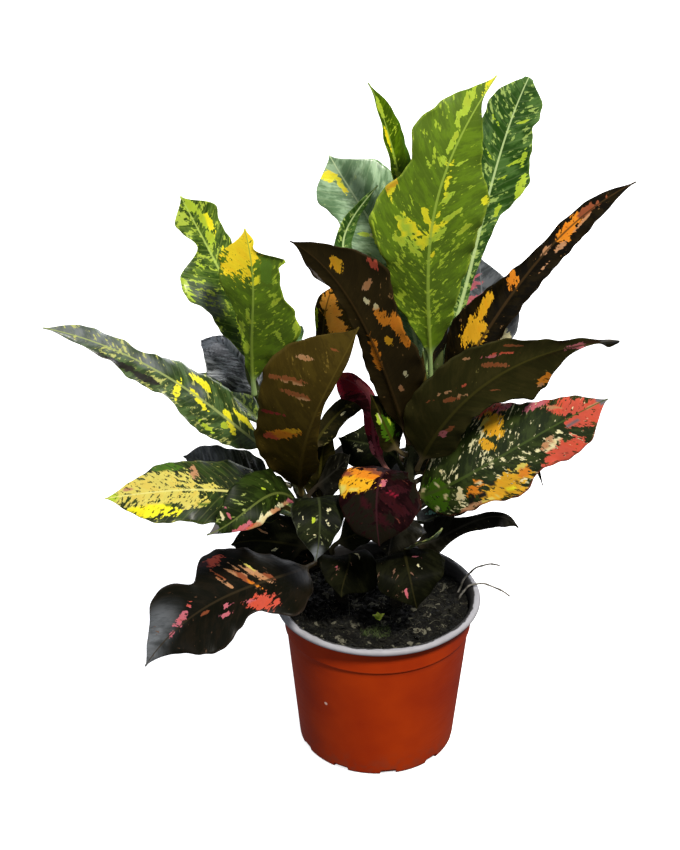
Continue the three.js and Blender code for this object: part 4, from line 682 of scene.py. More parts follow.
# Each finish: the blade's darker and lighter ground, fleck colour and share, rib and stalk colours,
# underside tint and its share, edge colour and share, strength of the side veins, roughness, shine,
# strength of the fine wrinkles across the blade and share of ground islands in the blotches.
# PLAIN_LOOK has the usual values, and a finish names those that it has otherwise.
PLAIN_LOOK = dict(
    flecks=0.2, under_share=0.3, edge_share=0.3, veins=0.12, rough=0.42, wrinkle=0.1, islands=0.2)
LEAF_LOOKS = {
    "lime_leaf": dict(
        dark="#324a00", light="#4b6802", fleck="#9cb42c", flecks=0.4, rib="#8ba23c", stalk="#8fa86a",
        under="#6d8430", under_share=0.25, edge="#a9bb3c", edge_share=0.4, veins=0.1, shine=0.16,
        islands=0.4),
    "lime_fleck_leaf": dict(
        dark="#28400a", light="#4c661e", fleck="#a2b73e", flecks=0.65, rib="#a3b956", stalk="#8fa25a",
        under="#66803a", under_share=0.25, edge="#9fb548", edge_share=0.5, veins=0.3, rough=0.36,
        shine=0.4, wrinkle=0.25),
    "green_leaf": dict(
        dark="#22400f", light="#44642c", fleck="#94ac58", flecks=0.5, rib="#b4c98a", stalk="#8ea472",
        under="#5c7648", under_share=0.4, edge="#86a040", edge_share=0.4, rough=0.34, shine=0.3,
        wrinkle=0.3),
    "sheen_leaf": dict(
        dark="#567450", light="#8ca884", fleck="#a9bc80", flecks=0.25, rib="#b8ca9c", stalk="#93a884",
        under="#66805e", edge="#7f9a5c", veins=0.25, rough=0.3, shine=0.7, wrinkle=0.15),
    "gold_fleck_leaf": dict(
        dark="#20320a", light="#40562c", fleck="#a5a85c", flecks=0.5, rib="#8c9858", stalk="#8c8f58",
        under="#5c6c48", edge="#87945a", veins=0.2, rough=0.34, shine=0.6, islands=0.4),
    "olive_leaf": dict(
        dark="#261c04", light="#3a2e0a", fleck="#6e5a24", flecks=0.12, rib="#483c14", stalk="#7c6c3c",
        under="#4e4218", edge="#4a3f18", shine=0.06),
    "dark_olive_leaf": dict(
        dark="#101002", light="#201c08", fleck="#6a6436", flecks=0.1, rib="#37330f", stalk="#5e5238",
        under="#3a381a", edge="#3c381a", veins=0.15, shine=0.06),
    "maroon_leaf": dict(
        dark="#0a0702", light="#171104", fleck="#8c6a40", flecks=0.12, rib="#362712", stalk="#5c4a34",
        under="#3a3018", edge="#40301c", shine=0.06),
    "brown_red_leaf": dict(
        dark="#100304", light="#1e080a", fleck="#5c2c24", flecks=0.15, rib="#30161a", stalk="#6c4a38",
        under="#3a221c", edge="#40281c", veins=0.15, rough=0.5, shine=0.03, islands=0.8),
    "black_leaf": dict(
        dark="#0c0b05", light="#1c1b14", fleck="#55523c", flecks=0.1, rib="#2a2822", stalk="#302a20",
        under="#2c2a1e", edge="#34322a", veins=0.2, shine=0.05),
    # The grey grounds of grey_leaf and wrinkled_leaf are partly painted sheen: the pale grey stands in for
    # a reflection of the light on the waxy blade, over the leaf's own dark colour.
    "grey_leaf": dict(
        dark="#3c4044", light="#666a70", fleck="#84868c", rib="#70767a", stalk="#5c6050", under="#50554e",
        edge="#5c6264", veins=0.4, rough=0.36, shine=0.6, wrinkle=0.4),
    "wrinkled_leaf": dict(
        dark="#25292b", light="#7a7e82", fleck="#8c9296", rib="#5c6264", stalk="#5c6050", under="#50554e",
        edge="#5c6264", veins=0.3, rough=0.4, shine=0.35, wrinkle=1),
    "rippled_leaf": dict(
        dark="#10140a", light="#282d24", fleck="#8c918a", flecks=0.1, rib="#4a4e44", stalk="#4c4a34",
        under="#30342a", edge="#3c4038", veins=0.9, rough=0.3, shine=0.35, wrinkle=0.8),
    "pale_leaf": dict(
        dark="#141f06", light="#26360f", fleck="#b0ae58", flecks=0.25, rib="#c4bf70", stalk="#8c8040",
        under="#6c7640", edge="#6a7430", edge_share=0.4, veins=0.1, shine=0.18, islands=1),
    "coral_leaf": dict(
        dark="#0a0a04", light="#141008", fleck="#5c4230", flecks=0.12, rib="#2c2416", stalk="#6c5c40",
        under="#3c322a", edge="#4c4038", rough=0.38, shine=0.08, islands=0.5),
    "red_yellow_leaf": dict(
        dark="#182008", light="#2c3614", fleck="#d6cfa0", flecks=0.42, rib="#3c4a1c", stalk="#7c7448",
        under="#444c2c", edge="#8c3c30", edge_share=0.7, veins=0.1, rough=0.38, shine=0.14, islands=0.8),
    "shade_leaf": dict(
        dark="#080903", light="#131408", fleck="#6c5040", flecks=0.08, rib="#24220f", stalk="#3c3826",
        under="#221f10", edge="#26261a", rough=0.6, shine=0.02),
    "speckled_leaf": dict(
        dark="#0b0e06", light="#191e0b", fleck="#6e7250", rib="#343a20", stalk="#34361e", under="#30341e",
        edge="#4a4c40", edge_share=0.6, rough=0.55, shine=0.03),
    "red_leaf": dict(
        dark="#3a1016", light="#8a3040", fleck="#8c4a48", rib="#8a3c48", stalk="#84564f", under="#40241c",
        edge="#7c2c3c", edge_share=0.4, veins=0.15, shine=0.12),
    "cream_edge_leaf": dict(
        dark="#131c06", light="#25330f", fleck="#8c9850", rib="#58622c", stalk="#a88c6a", under="#4a5230",
        edge="#c0987c", edge_share=0, rough=0.4, shine=0.05, islands=0),
}
CLOUD_MM = 24.0
PATCH_MM = 9.0
FLECK_WIDE_MM = 3.0
FLECK_LONG_MM = 4.4
TISSUE_MM = 1.6
WRINKLE_MM = 2.4
SPECK_MM = 2.6
DRIFT_MM = 8.0
# Colour of the painted sheen, a grey reflection of the light painted on the blades.
PAINTED_SHEEN_COLOUR = "#686c70"


def leaf_material(name, look):
    """Waxy croton blade with the colour in its tissue: a soft two-tone ground, sparse irregular flecks,
    ragged blotches with islands of ground in them, a paler rib and the broad soft shine of the cuticle,
    with patches of painted sheen, a grey reflection of the light painted into the colour."""
    material, node = new_material(name)
    blade = node("Attribute", out=1, attribute_name="blade_place")
    veins = node("Attribute", out=1, attribute_name="vein_place")
    upper = node("Attribute", out=2, attribute_name="upper_face")
    depth = node("Attribute", out=2, attribute_name="blotch_depth")
    share = node("Attribute", out=2, attribute_name="share")
    painted_sheen = node("Attribute", out=2, attribute_name="painted_sheen")
    hue = node("Attribute", out=0, attribute_name="blotch_colour")
    blade_axes = node("SeparateXYZ", {0: blade}).node.outputs
    vein_axes = node("SeparateXYZ", {0: veins}).node.outputs

    def grain(wide, long, detail):
        space = node("Mapping", {"Vector": veins, "Scale": (1 / (wide * MM), 1 / (long * MM), 1)})
        return node("TexNoise", {"Vector": space, "Scale": 1.0, "Detail": detail, "Roughness": 0.6})

    clouds = grain(CLOUD_MM, CLOUD_MM, 2.0)
    patches = grain(PATCH_MM, PATCH_MM * 1.5, 3.0)
    spots = grain(FLECK_WIDE_MM, FLECK_LONG_MM, 3.0)
    tissue = grain(TISSUE_MM, TISSUE_MM * 1.6, 3.0)
    wrinkles = grain(WRINKLE_MM, WRINKLE_MM * 6, 2.0)
    specks = grain(SPECK_MM, SPECK_MM * 1.3, 2.0)
    drift = grain(DRIFT_MM, DRIFT_MM, 1.0)

    # Ground: two tones in irregular patches, with a fine grain of the tissue over them.
    mottle = node("Math", {0: tissue, 1: 0.3, 2: patches}, operation="MULTIPLY_ADD")
    crease = node("MapRange", {0: wrinkles, 1: 0.35, 2: 0.65, 3: -0.12 * look["wrinkle"],
        4: 0.12 * look["wrinkle"]})
    tone = node("Math", {0: mottle, 1: crease}, operation="ADD")
    ground_share = node("MapRange", {0: tone, 1: 0.58, 2: 0.78}, **SOFT)
    ground = node("Mix", {0: ground_share, 6: linear(look["dark"]), 7: linear(look["light"])}, **MIX)

    # Painted sheen: a soft grey reflection of the light painted into the colour, broken by the wrinkles.
    broken = node("MapRange", {0: tone, 1: 0.5, 2: 0.75, 3: 0.35, 4: 0.85})
    painted_sheen_share = node("Math", {0: painted_sheen, 1: broken}, operation="MULTIPLY")
    with_painted_sheen = node("Mix", {0: painted_sheen_share, 6: ground, 7: linear(PAINTED_SHEEN_COLOUR)}, **MIX)

    # Flecks: only where the two noises are both high, so they come in loose groups.
    density = node("Math", {0: clouds, 1: 0.5, 2: spots}, operation="MULTIPLY_ADD")
    cut = 1.0 - 0.27 * look["flecks"]
    flecks = node("MapRange", {0: density, 1: cut - 0.04, 2: cut + 0.02, 4: 0.9}, **SOFT)
    flecked = node("Mix", {0: flecks, 6: with_painted_sheen, 7: linear(look["fleck"])}, **MIX)

    # Side veins, faint on most leaves.
    bend = node("Math", {0: clouds, 1: 0.006, 2: vein_axes[0]}, operation="MULTIPLY_ADD")
    off_vein = node("Math", {0: bend, 1: VEIN_SPACING * MM / 2}, operation="PINGPONG")
    vein_line = node("MapRange", {0: off_vein, 1: 0.0008, 2: 0.0, 4: 0.6 * look["veins"]}, **SOFT)
    veined = node("Mix", {0: vein_line, 6: flecked, 7: linear(look["rib"])}, **MIX)

    # Blotches with ragged edges, and islands of the ground left inside them.
    wander = node("MapRange", {0: drift, 1: 0.25, 2: 0.75, 3: -0.3, 4: 0.3})
    coarse = node("MapRange", {0: spots, 1: 0.2, 2: 0.8, 3: -0.65, 4: 0.55})
    fine = node("MapRange", {0: tissue, 1: 0.2, 2: 0.8, 3: -0.25, 4: 0.25})
    bent = node("Math", {0: coarse, 1: wander}, operation="ADD")
    ragged = node("Math", {0: bent, 1: fine}, operation="ADD")
    edge_depth = node("Math", {0: depth, 1: ragged}, operation="ADD")
    blotch = node("MapRange", {0: edge_depth, 1: 0.0, 2: 0.16}, **SOFT)
    hole = 0.28 + 0.11 * look["islands"]
    islands = node("MapRange", {0: specks, 1: hole, 2: hole + 0.03, 3: 0.1, 4: 1.0})
    blotch_share = node("Math", {0: blotch, 1: islands}, operation="MULTIPLY")
    shade = node("MapRange", {0: tone, 1: 0.45, 2: 0.9, 3: 0.82, 4: 1.06})
    toned = node("VectorMath", {0: hue, "Scale": shade}, operation="SCALE")
    deeper = node("VectorMath", {0: toned, 1: (0.86, 0.7, 0.5)}, operation="MULTIPLY")
    deep_share = node("MapRange", {0: patches, 1: 0.47, 2: 0.62, 4: 0.55}, **SOFT)
    hue_shaded = node("Mix", {0: deep_share, 6: toned, 7: deeper}, **MIX)
    rim = node("MapRange", {0: edge_depth, 1: 0.3, 2: 0.08, 4: 0.8}, **SOFT)
    paler = node("VectorMath", {0: hue_shaded, 1: (1.25, 1.35, 1.5)}, operation="MULTIPLY")
    rimmed = node("Mix", {0: rim, 6: hue_shaded, 7: paler}, **MIX)
    blotched = node("Mix", {0: blotch_share, 6: veined, 7: rimmed}, **MIX)

    # Margin, rib, underside and stalk.
    reach = node("Math", {0: spots, 1: 0.14, 2: blade_axes[2]}, operation="MULTIPLY_ADD")
    edge_share = node("MapRange", {0: reach, 1: 1.01, 2: 1.08, 4: look["edge_share"]})
    edged = node("Mix", {0: edge_share, 6: blotched, 7: linear(look["edge"])}, **MIX)
    from_rib = node("Math", {0: vein_axes[1]}, operation="ABSOLUTE")
    rib_width = node("MapRange", {0: share, 1: 0.0, 2: 1.0, 3: 0.0016, 4: 0.0004})
    rib_ratio = node("Math", {0: from_rib, 1: rib_width}, operation="DIVIDE")
    rib_share = node("MapRange", {0: rib_ratio, 1: 1.2, 2: 0.5, 4: 0.8}, **SOFT)
    ribbed = node("Mix", {0: rib_share, 6: edged, 7: linear(look["rib"])}, **MIX)
    under_share = node("MapRange", {0: upper, 1: 1.0, 2: 0.0, 4: look["under_share"]})
    under = node("Mix", {0: under_share, 6: ribbed, 7: linear(look["under"])}, **MIX)
    stalk_share = node("MapRange", {0: blade_axes[0], 1: 0.012, 2: 0.001}, **SOFT)
    colour = node("Mix", {0: stalk_share, 6: under, 7: linear(look["stalk"])}, **MIX)

    # Relief: side veins sunk into the upper face, and a fine grain.
    groove = node("MapRange", {0: off_vein, 1: 0.0, 2: 0.0016, 4: look["veins"]}, **SOFT)
    fine_relief = node("Math", {0: tissue, 1: 0.3, 2: groove}, operation="MULTIPLY_ADD")
    height = node("Math", {0: wrinkles, 1: 3.0 * look["wrinkle"], 2: fine_relief}, operation="MULTIPLY_ADD")
    relief = node("Bump", {"Strength": 0.4, "Distance": 0.0005, "Height": height})
    rough = node("MapRange", {0: clouds, 1: 0.3, 2: 0.7, 3: look["rough"] - 0.05, 4: look["rough"] + 0.08})
    surface = node("BsdfPrincipled", {"Base Color": colour, "Roughness": rough, "Normal": relief,
        "IOR": 1.45, "Specular IOR Level": look["shine"], "Coat Weight": 0.12 * look["shine"],
        "Coat Roughness": 0.25})
    node("OutputMaterial", {"Surface": surface})
    return material


slot_of = {row["node"]: row["material_slot"] for row in frame["record"]["subparts"]}
leaf_materials = {name: leaf_material(name, {**PLAIN_LOOK, **look}) for name, look in LEAF_LOOKS.items()}
finishes = [(short, name) for name, shorts in FINISH_OF.items() for short in shorts.split()]
for seed, (short, finish) in enumerate(finishes, 1):
    make_leaf(short, leaf_materials[finish], slot_of["leaf_" + short], seed)


# The pot, with the sizes of its solid, but its notches are 0.8 mm higher than the solid's.
POT_HEIGHT = 123.0
RIM_RADIUS = 76.0
BASE_RADIUS = 59.0
WALL = 1.8
FLOOR = 2.4
LEDGE_Z = 100.5
LEDGE_STEP = 1.2
SHOULDER_RADIUS = 68.0
NECK_RADIUS = 70.4
LIP_DROP = 4.2
NOTCHES = 10
NOTCH_WIDTH = 12.0
NOTCH_HEIGHT = 4.2
NOTCH_DEPTH = 8.0
NOTCH_CORNER = 1.6
NOTCH_TURN = -10.0
POT_TURNS = 240
SPECK_PLACE = (-38.3, -51.8, 61.0)


def arc(radius, height, across, rise, first, last, count):
    """Points of an elliptic arc of the profile, by its centre, half sizes and first and last angle."""
    turns = np.radians(np.linspace(first, last, count))
    return [(radius + across * math.cos(t), height + rise * math.sin(t)) for t in turns]


def straight(first, last, count):
    """Points between two points of the profile, without the last one."""
    return [tuple(p) for p in np.linspace(first, last, count + 1)[:-1]]


def pot_profile():
    """The pot's outer and inner profile, from the middle of its underside to the middle of its floor.
    The small numbers are the radii and steps of its moulded edges, in mm."""
    lip_low = POT_HEIGHT - LIP_DROP
    inner_base = BASE_RADIUS - WALL
    outer = straight((6, 0), (BASE_RADIUS - 3, 0), 6)
    outer += arc(BASE_RADIUS - 3, 3, 3, 3, -90, 0, 6)
    outer += straight((BASE_RADIUS + 0.2, 5), (SHOULDER_RADIUS, LEDGE_Z - 1.6), 20)
    outer += arc(SHOULDER_RADIUS + 0.5, LEDGE_Z - 1.2, 0.5, 0.5, 180, 90, 3)
    outer += arc(SHOULDER_RADIUS + 0.7, LEDGE_Z - 0.2, 0.6, 0.6, -60, 20, 3)
    above_ledge = (SHOULDER_RADIUS + LEDGE_STEP + 0.1, LEDGE_Z + 1)
    outer += straight(above_ledge, (NECK_RADIUS, lip_low + 0.4), 6)
    lip = arc(NECK_RADIUS + 1.4, lip_low + 1.1, 1.0, 1.0, -160, -60, 4)
    lip += arc(RIM_RADIUS - 2.3, lip_low + 2.3, 2.3, 2.3, -80, 70, 12)
    lip += arc(RIM_RADIUS - 4.0, POT_HEIGHT - 2.0, 2.4, 2.0, 75, 150, 7)
    inner_ledge = (SHOULDER_RADIUS - WALL + LEDGE_STEP, LEDGE_Z)
    inside = straight((NECK_RADIUS - WALL, POT_HEIGHT - 3), inner_ledge, 5)
    inside += straight((SHOULDER_RADIUS - WALL, LEDGE_Z - 1.5), (inner_base, 4.4), 10)
    inside += arc(inner_base - 2, 4.4, 2, 2, 0, -90, 4)
    inside += straight((inner_base - 4, FLOOR), (6, FLOOR), 5)
    return outer, lip + inside


def notch_cutter():
    """One mesh of round-topped blocks, set evenly round the pot's foot."""
    half = NOTCH_WIDTH / 2
    bends = [(NOTCH_CORNER * math.cos(t), NOTCH_HEIGHT - NOTCH_CORNER + NOTCH_CORNER * math.sin(t))
             for t in np.linspace(0, 1.5, 5)]
    outline = [(-half, -2), (half, -2)]
    outline += [(half - NOTCH_CORNER + y, z) for y, z in bends]
    outline += [(NOTCH_CORNER - half - y, z) for y, z in reversed(bends)]
    size = len(outline)
    points, faces = [], []
    for k in range(NOTCHES):
        turn = math.radians(360 * k / NOTCHES + NOTCH_TURN)
        c, s = math.cos(turn), math.sin(turn)
        start = len(points)
        for radius in (BASE_RADIUS - NOTCH_DEPTH / 2, BASE_RADIUS + NOTCH_DEPTH / 2):
            points += [(radius * c - y * s, radius * s + y * c, z) for y, z in outline]
        faces.append([start + n for n in reversed(range(size))])
        faces.append([start + size + n for n in range(size)])
        for n in range(size):
            after = (n + 1) % size
            faces.append([start + n, start + after, start + size + after, start + size + n])
    return mesh_object("notch_cutter", np.array(points) * MM, faces, [], smooth_faces=False)


def baked(piece, name):
    """The piece as its modifiers leave it, as a plain mesh object; the piece itself goes."""
    bpy.context.view_layer.update()
    shaped = piece.evaluated_get(bpy.context.evaluated_depsgraph_get())
    mesh = bpy.data.meshes.new_from_object(shaped)
    made = bpy.data.objects.new(name, mesh)
    bpy.context.scene.collection.objects.link(made)
    bpy.data.objects.remove(piece)
    return made


def make_pot(outside, lining):
    """The pot, a little out of round as thin plastic is, with the notches cut out of its foot."""
    outer, inner = pot_profile()
    profile = np.array(outer + inner)
    turns = full_turn(POT_TURNS)[None, :]
    radius, height = profile[:, :1], profile[:, 1:]
    soft = height / POT_HEIGHT
    bulge = 0.45 * soft * np.sin(2 * turns + 0.8) + 0.2 * soft * np.sin(5 * turns + 2)
    trim = 0.22 * np.sin(3 * turns) + 0.15 * np.sin(8 * turns + 1)
    trim = smooth(height, POT_HEIGHT - LIP_DROP - 1, POT_HEIGHT) * trim
    wide = radius + bulge * (radius > 10)
    rings = np.stack([wide * np.cos(turns), wide * np.sin(turns), height + trim + 0 * turns], axis=-1)
    raw = ringed("pot_raw", rings, [(0, 0, 0), (0, 0, FLOOR)], [outside, lining])
    lined = (len(outer) - 1) * POT_TURNS
    for polygon in raw.data.polygons:
        lowest = min(polygon.vertices)
        polygon.material_index = 1 if lined <= lowest < len(profile) * POT_TURNS else 0
    cutter = notch_cutter()
    cut = raw.modifiers.new("notches", "BOOLEAN")
    cut.object = cutter
    cut.solver = "EXACT"
    pot = baked(raw, "nursery_pot")
    bpy.data.objects.remove(cutter)
    return place_piece(pot, "pot_plastic", "pot")


def pot_outside():
    """Thin moulded plastic in terracotta red: satin, uneven in tone, dusty at its foot, one pale speck."""
    material, node = new_material("moulded_terracotta_plastic")
    place = node("TexCoord", out=3)
    axes = node("SeparateXYZ", {0: place}).node.outputs
    broad = node("TexNoise", {"Vector": place, "Scale": 22.0, "Detail": 3.0})
    tone = node("MapRange", {0: broad, 1: 0.3, 2: 0.7})
    body = node("Mix", {0: tone, 6: linear("#9a2a06"), 7: linear("#b13806")}, **MIX)
    dust_noise = node("TexNoise", {"Vector": place, "Scale": 160.0, "Detail": 4.0})
    near_foot = node("MapRange", {0: axes[2], 1: 0.022, 2: 0.0, 3: 0.0, 4: 0.45})
    dusty = node("MapRange", {0: dust_noise, 1: 0.45, 2: 0.62})
    dust = node("Math", {0: near_foot, 1: dusty}, operation="MULTIPLY")
    dusted = node("Mix", {0: dust, 6: body, 7: linear("#6b4230")}, **MIX)
    speck_off = node("VectorMath", {0: place, 1: tuple(v * MM for v in SPECK_PLACE)}, out=1,
        operation="DISTANCE")
    speck = node("MapRange", {0: speck_off, 1: 0.0016, 2: 0.0009})
    colour = node("Mix", {0: speck, 6: dusted, 7: linear("#f0c8b8")}, **MIX)
    scratch_space = node("Mapping", {"Vector": place, "Scale": (60, 60, 900)})
    scratches = node("TexNoise", {"Vector": scratch_space, "Scale": 1.0, "Detail": 3.0})
    rough = node("MapRange", {0: scratches, 1: 0.3, 2: 0.7, 3: 0.38, 4: 0.52})
    ripple = node("TexNoise", {"Vector": place, "Scale": 45.0, "Detail": 1.0})
    height = node("Math", {0: scratches, 1: 0.08, 2: ripple}, operation="MULTIPLY_ADD")
    relief = node("Bump", {"Strength": 0.35, "Distance": 0.0006, "Height": height})
    surface = node("BsdfPrincipled", {"Base Color": colour, "Roughness": rough, "Normal": relief,
        "IOR": 1.49, "Specular IOR Level": 0.12})
    node("OutputMaterial", {"Surface": surface})
    return material


def pot_lining():
    """The pot's pale grey inner layer, which shows on the rolled lip: smooth, smeared with damp soil on its
    inner side, and darker towards the back of the pot as painted shade.
    """
    material, node = new_material("moulded_grey_plastic")
    place = node("TexCoord", out=3)
    axes = node("SeparateXYZ", {0: place}).node.outputs
    cloud = node("TexNoise", {"Vector": place, "Scale": 120.0, "Detail": 5.0})
    from_axis = node("VectorMath", {0: place, 1: (1, 1, 0)}, operation="MULTIPLY")
    radius = node("VectorMath", {0: from_axis}, out=1, operation="LENGTH")
    inward = node("MapRange", {0: radius, 1: 0.0735, 2: 0.0705, 3: 0.0, 4: 0.6})
    # Darker towards the back of the pot: painted shade on the lip.
    painted_back_shade = node("MapRange", {0: axes[1], 1: -0.01, 2: 0.025, 3: 0.0, 4: 0.34})
    soil_and_back_shade = node("Math", {0: inward, 1: painted_back_shade}, operation="ADD")
    smear_and_shade_field = node("Math", {0: cloud, 1: soil_and_back_shade}, operation="ADD")
    # One dark colour for both the soil smear on the inner side and the painted shade at the back.
    soil_smear_and_shade = node("MapRange", {0: smear_and_shade_field, 1: 0.7, 2: 0.86, 3: 0.0, 4: 0.95})
    shade = node("Mix", {0: cloud, 6: linear("#88878c"), 7: linear("#aaaaaf")}, **MIX)
    colour = node("Mix", {0: soil_smear_and_shade, 6: shade, 7: linear("#1e1c18")}, **MIX)
    rough = node("MapRange", {0: cloud, 1: 0.3, 2: 0.7, 3: 0.34, 4: 0.5})
    relief = node("Bump", {"Strength": 0.2, "Distance": 0.0003, "Height": cloud})
    surface = node("BsdfPrincipled", {"Base Color": colour, "Roughness": rough, "Normal": relief,
        "IOR": 1.49, "Specular IOR Level": 0.12})
    node("OutputMaterial", {"Surface": surface})
    return material


# The soil, with the same top as its solid and a crumbled surface.
SOIL_EDGE_Z = 114.0
SOIL_CROWN = 3.0
SOIL_ROUGHNESS = 1.1
SOIL_GRAIN = 1.5
SOIL_FOOT_Z = 2.7
SOIL_GAP = 0.3
SOIL_REACH = NECK_RADIUS - WALL - 0.7
SOIL_RINGS = 84
SOIL_TURNS = 220


def soil_height(x, y):
    """Height of the soil at a place: a low crown with lumps and grains."""
    low = SOIL_EDGE_Z + SOIL_CROWN * (1 - (x * x + y * y) / SOIL_REACH ** 2)
    lumps = math.sin(x * 0.23 + 1) * math.cos(y * 0.19) + math.sin(x * 0.11 - y * 0.17)
    grains = noise.fractal(Vector((x * 0.16, y * 0.16, 3.0)), 0.7, 2.1, 5)
    return low + SOIL_ROUGHNESS * lumps + SOIL_GRAIN * grains


def soil_top(name, radius, rings, turns, materials, skirt):
    """A disc of soil surface; with a skirt it goes on down the pot's inside and closes at the floor."""
    rows = []
    for r in np.linspace(radius, 0.8, rings):
        for t in full_turn(turns):
            x, y = r * math.cos(t), r * math.sin(t)
            rows.append((x, y, soil_height(x, y)))
    middle = (0, 0, soil_height(0, 0))
    if not skirt:
        last = (rings - 1) * turns
        faces = ring_faces(rings, turns, 0, rings * turns)[:last]
        faces += [(last + n, last + (n + 1) % turns, rings * turns) for n in range(turns)]
        return mesh_object(name, np.array(rows + [middle]) * MM, faces, materials)
    base = BASE_RADIUS - WALL - SOIL_GAP
    shoulder = SHOULDER_RADIUS - WALL - SOIL_GAP
    sides = []
    for r, z in ((30.0, SOIL_FOOT_Z), (base - 2.2, SOIL_FOOT_Z), (base, 4.9), (shoulder, LEDGE_Z - 1.2),
                 (shoulder + LEDGE_STEP, LEDGE_Z + 0.6), (radius, SOIL_EDGE_Z - 3)):
        sides += [(r * math.cos(t), r * math.sin(t), z) for t in full_turn(turns)]
    closed = np.array(sides + rows).reshape(-1, turns, 3)
    return ringed(name, closed, [(0, 0, SOIL_FOOT_Z), middle], materials)


def strewn_tree():
    """Geometry Nodes tree: pieces of a collection strewn over a ground, turned and sized by a seed."""
    tree = bpy.data.node_groups.new("strewn", "GeometryNodeTree")
    node = functools.partial(add_node, tree)
    wanted = {"Ground": "Geometry", "Pieces": "Collection", "Finish": "Material", "Density": "Float",
              "Least Distance": "Float", "Smallest": "Float", "Largest": "Float", "Tilt": "Float",
              "Seed": "Int"}
    for label, kind in wanted.items():
        tree.interface.new_socket(label, in_out="INPUT", socket_type="NodeSocket" + kind)
    tree.interface.new_socket("Strewn", in_out="OUTPUT", socket_type="NodeSocketGeometry")
    given = tree.nodes.new("NodeGroupInput").outputs
    points = node("GeometryNodeDistributePointsOnFaces", {"Mesh": given["Ground"],
        "Distance Min": given["Least Distance"], "Density Max": given["Density"], "Seed": given["Seed"]},
        distribute_method="POISSON")
    pieces = node("GeometryNodeCollectionInfo", {"Collection": given["Pieces"], "Separate Children": True,
        "Reset Children": True})
    back = node("Math", {0: given["Tilt"], 1: -1.0}, operation="MULTIPLY")
    lowest = node("CombineXYZ", {0: back, 1: back, 2: 0.0})
    highest = node("CombineXYZ", {0: given["Tilt"], 1: given["Tilt"], 2: 2 * math.pi})
    turn = node("FunctionNodeRandomValue", {0: lowest, 1: highest, "Seed": given["Seed"]},
        data_type="FLOAT_VECTOR")
    size = node("FunctionNodeRandomValue", {2: given["Smallest"], 3: given["Largest"],
        "Seed": given["Seed"]}, out=1, data_type="FLOAT")
    copies = node("GeometryNodeInstanceOnPoints", {"Points": points, "Instance": pieces,
        "Pick Instance": True, "Rotation": turn, "Scale": size})
    real = node("GeometryNodeRealizeInstances", {"Geometry": copies})
    finished = node("GeometryNodeSetMaterial", {"Geometry": real, "Material": given["Finish"]})
    node("NodeGroupOutput", {"Strewn": finished})
    return tree


def strew(name, ground, pieces, finish, slot, **values):
    """Strews the pieces over the ground and keeps them as one plain mesh; the pieces and the ground go."""
    group = bpy.data.collections.new(name + "_pieces")
    for piece in pieces:
        bpy.context.scene.collection.objects.unlink(piece)
        group.objects.link(piece)
    run = ground.modifiers.new("strewn", "NODES")
    run.node_group = strewn
    wanted = {"Pieces": group, "Finish": finish, **values}
    for socket in strewn.interface.items_tree:
        if socket.in_out == "INPUT" and socket.name in wanted:
            run[socket.identifier] = wanted[socket.name]
    made = baked(ground, name)
    for piece in pieces:
        bpy.data.objects.remove(piece)
    bpy.data.collections.remove(group)
    return place_piece(made, slot)


def chip(name, long, wide, thick, seed):
    """A splintered flake of bark: a slab with ragged ends and rough faces."""
    rng = np.random.default_rng(seed)
    rows, size = 6, 8
    points = []
    for i in range(rows):
        share = i / (rows - 1)
        swell = 0.45 + 0.55 * math.sin(math.pi * (0.12 + 0.76 * share))
        shift = rng.uniform(-0.12, 0.12, 2)
        for j in range(size):
            turn = 2 * math.pi * j / size
            y = wide / 2 * swell * (math.cos(turn) * rng.uniform(0.75, 1.1) + shift[0])
            z = thick / 2 * swell * (math.sin(turn) * rng.uniform(0.6, 1.2) + shift[1])
            points.append((long * (share - 0.5) + rng.uniform(-0.06, 0.06) * long, y, z))
    ends = [(-long * 0.54, 0, 0), (long * 0.54, 0, 0)]
    return ringed(name, np.array(points).reshape(rows, size, 3), ends, [], smooth_faces=False)


def strand(name, long, radius, bend, seed, upright=False):
    """A fine fibre or blade that tapers and bends."""
    rng = np.random.default_rng(seed)
    rows, size = 9, 4
    points = []
    swing = rng.uniform(-1, 1, 2)
    for i in range(rows):
        share = i / (rows - 1)
        x, y = long * share, bend * math.sin(2.4 * share + swing[0]) * share
        z = bend * 0.8 * math.sin(math.pi * share) * (1 + 0.5 * swing[1])
        thin = radius * (1 - 0.7 * share)
        for j in range(size):
            turn = 2 * math.pi * j / size
            points.append((x, y + thin * math.cos(turn), z + thin * math.sin(turn)))
    points += [(-0.1, 0, 0), (long * 1.01, y, z)]
    if upright:
        points = [point[::-1] for point in points]
    faces = ring_faces(rows, size, rows * size, rows * size + 1)
    if upright:
        faces = [tuple(reversed(face)) for face in faces]
    return mesh_object(name, np.array(points) * MM, faces, [])


def crumb_material(name, dark, light, rare, rough):
    """Bark and peat crumbs in small patches of brown, with paler broken fibres on their faces."""
    material, node = new_material(name)
    place = node("TexCoord", out=3)
    cells = node("TexVoronoi", {"Vector": place, "Scale": 210.0}, out=1)
    tone = node("SeparateXYZ", {0: cells}).node.outputs
    fine_space = node("Mapping", {"Vector": place, "Scale": (500, 1400, 500)})
    fine = node("TexNoise", {"Vector": fine_space, "Scale": 1.0, "Detail": 4.0})
    body = node("Mix", {0: tone[0], 6: linear(dark), 7: linear(light)}, **MIX)
    is_rare = node("MapRange", {0: tone[1], 1: 0.86, 2: 0.9})
    mixed = node("Mix", {0: is_rare, 6: body, 7: linear(rare)}, **MIX)
    pale = node("MapRange", {0: fine, 1: 0.64, 2: 0.74, 3: 0.0, 4: 0.7})
    colour = node("Mix", {0: pale, 6: mixed, 7: linear("#62654f")}, **MIX)
    relief = node("Bump", {"Strength": 0.8, "Distance": 0.0006, "Height": fine})
    surface = node("BsdfPrincipled", {"Base Color": colour, "Roughness": rough, "Normal": relief,
        "Specular IOR Level": 0.15})
    node("OutputMaterial", {"Surface": surface})
    return material


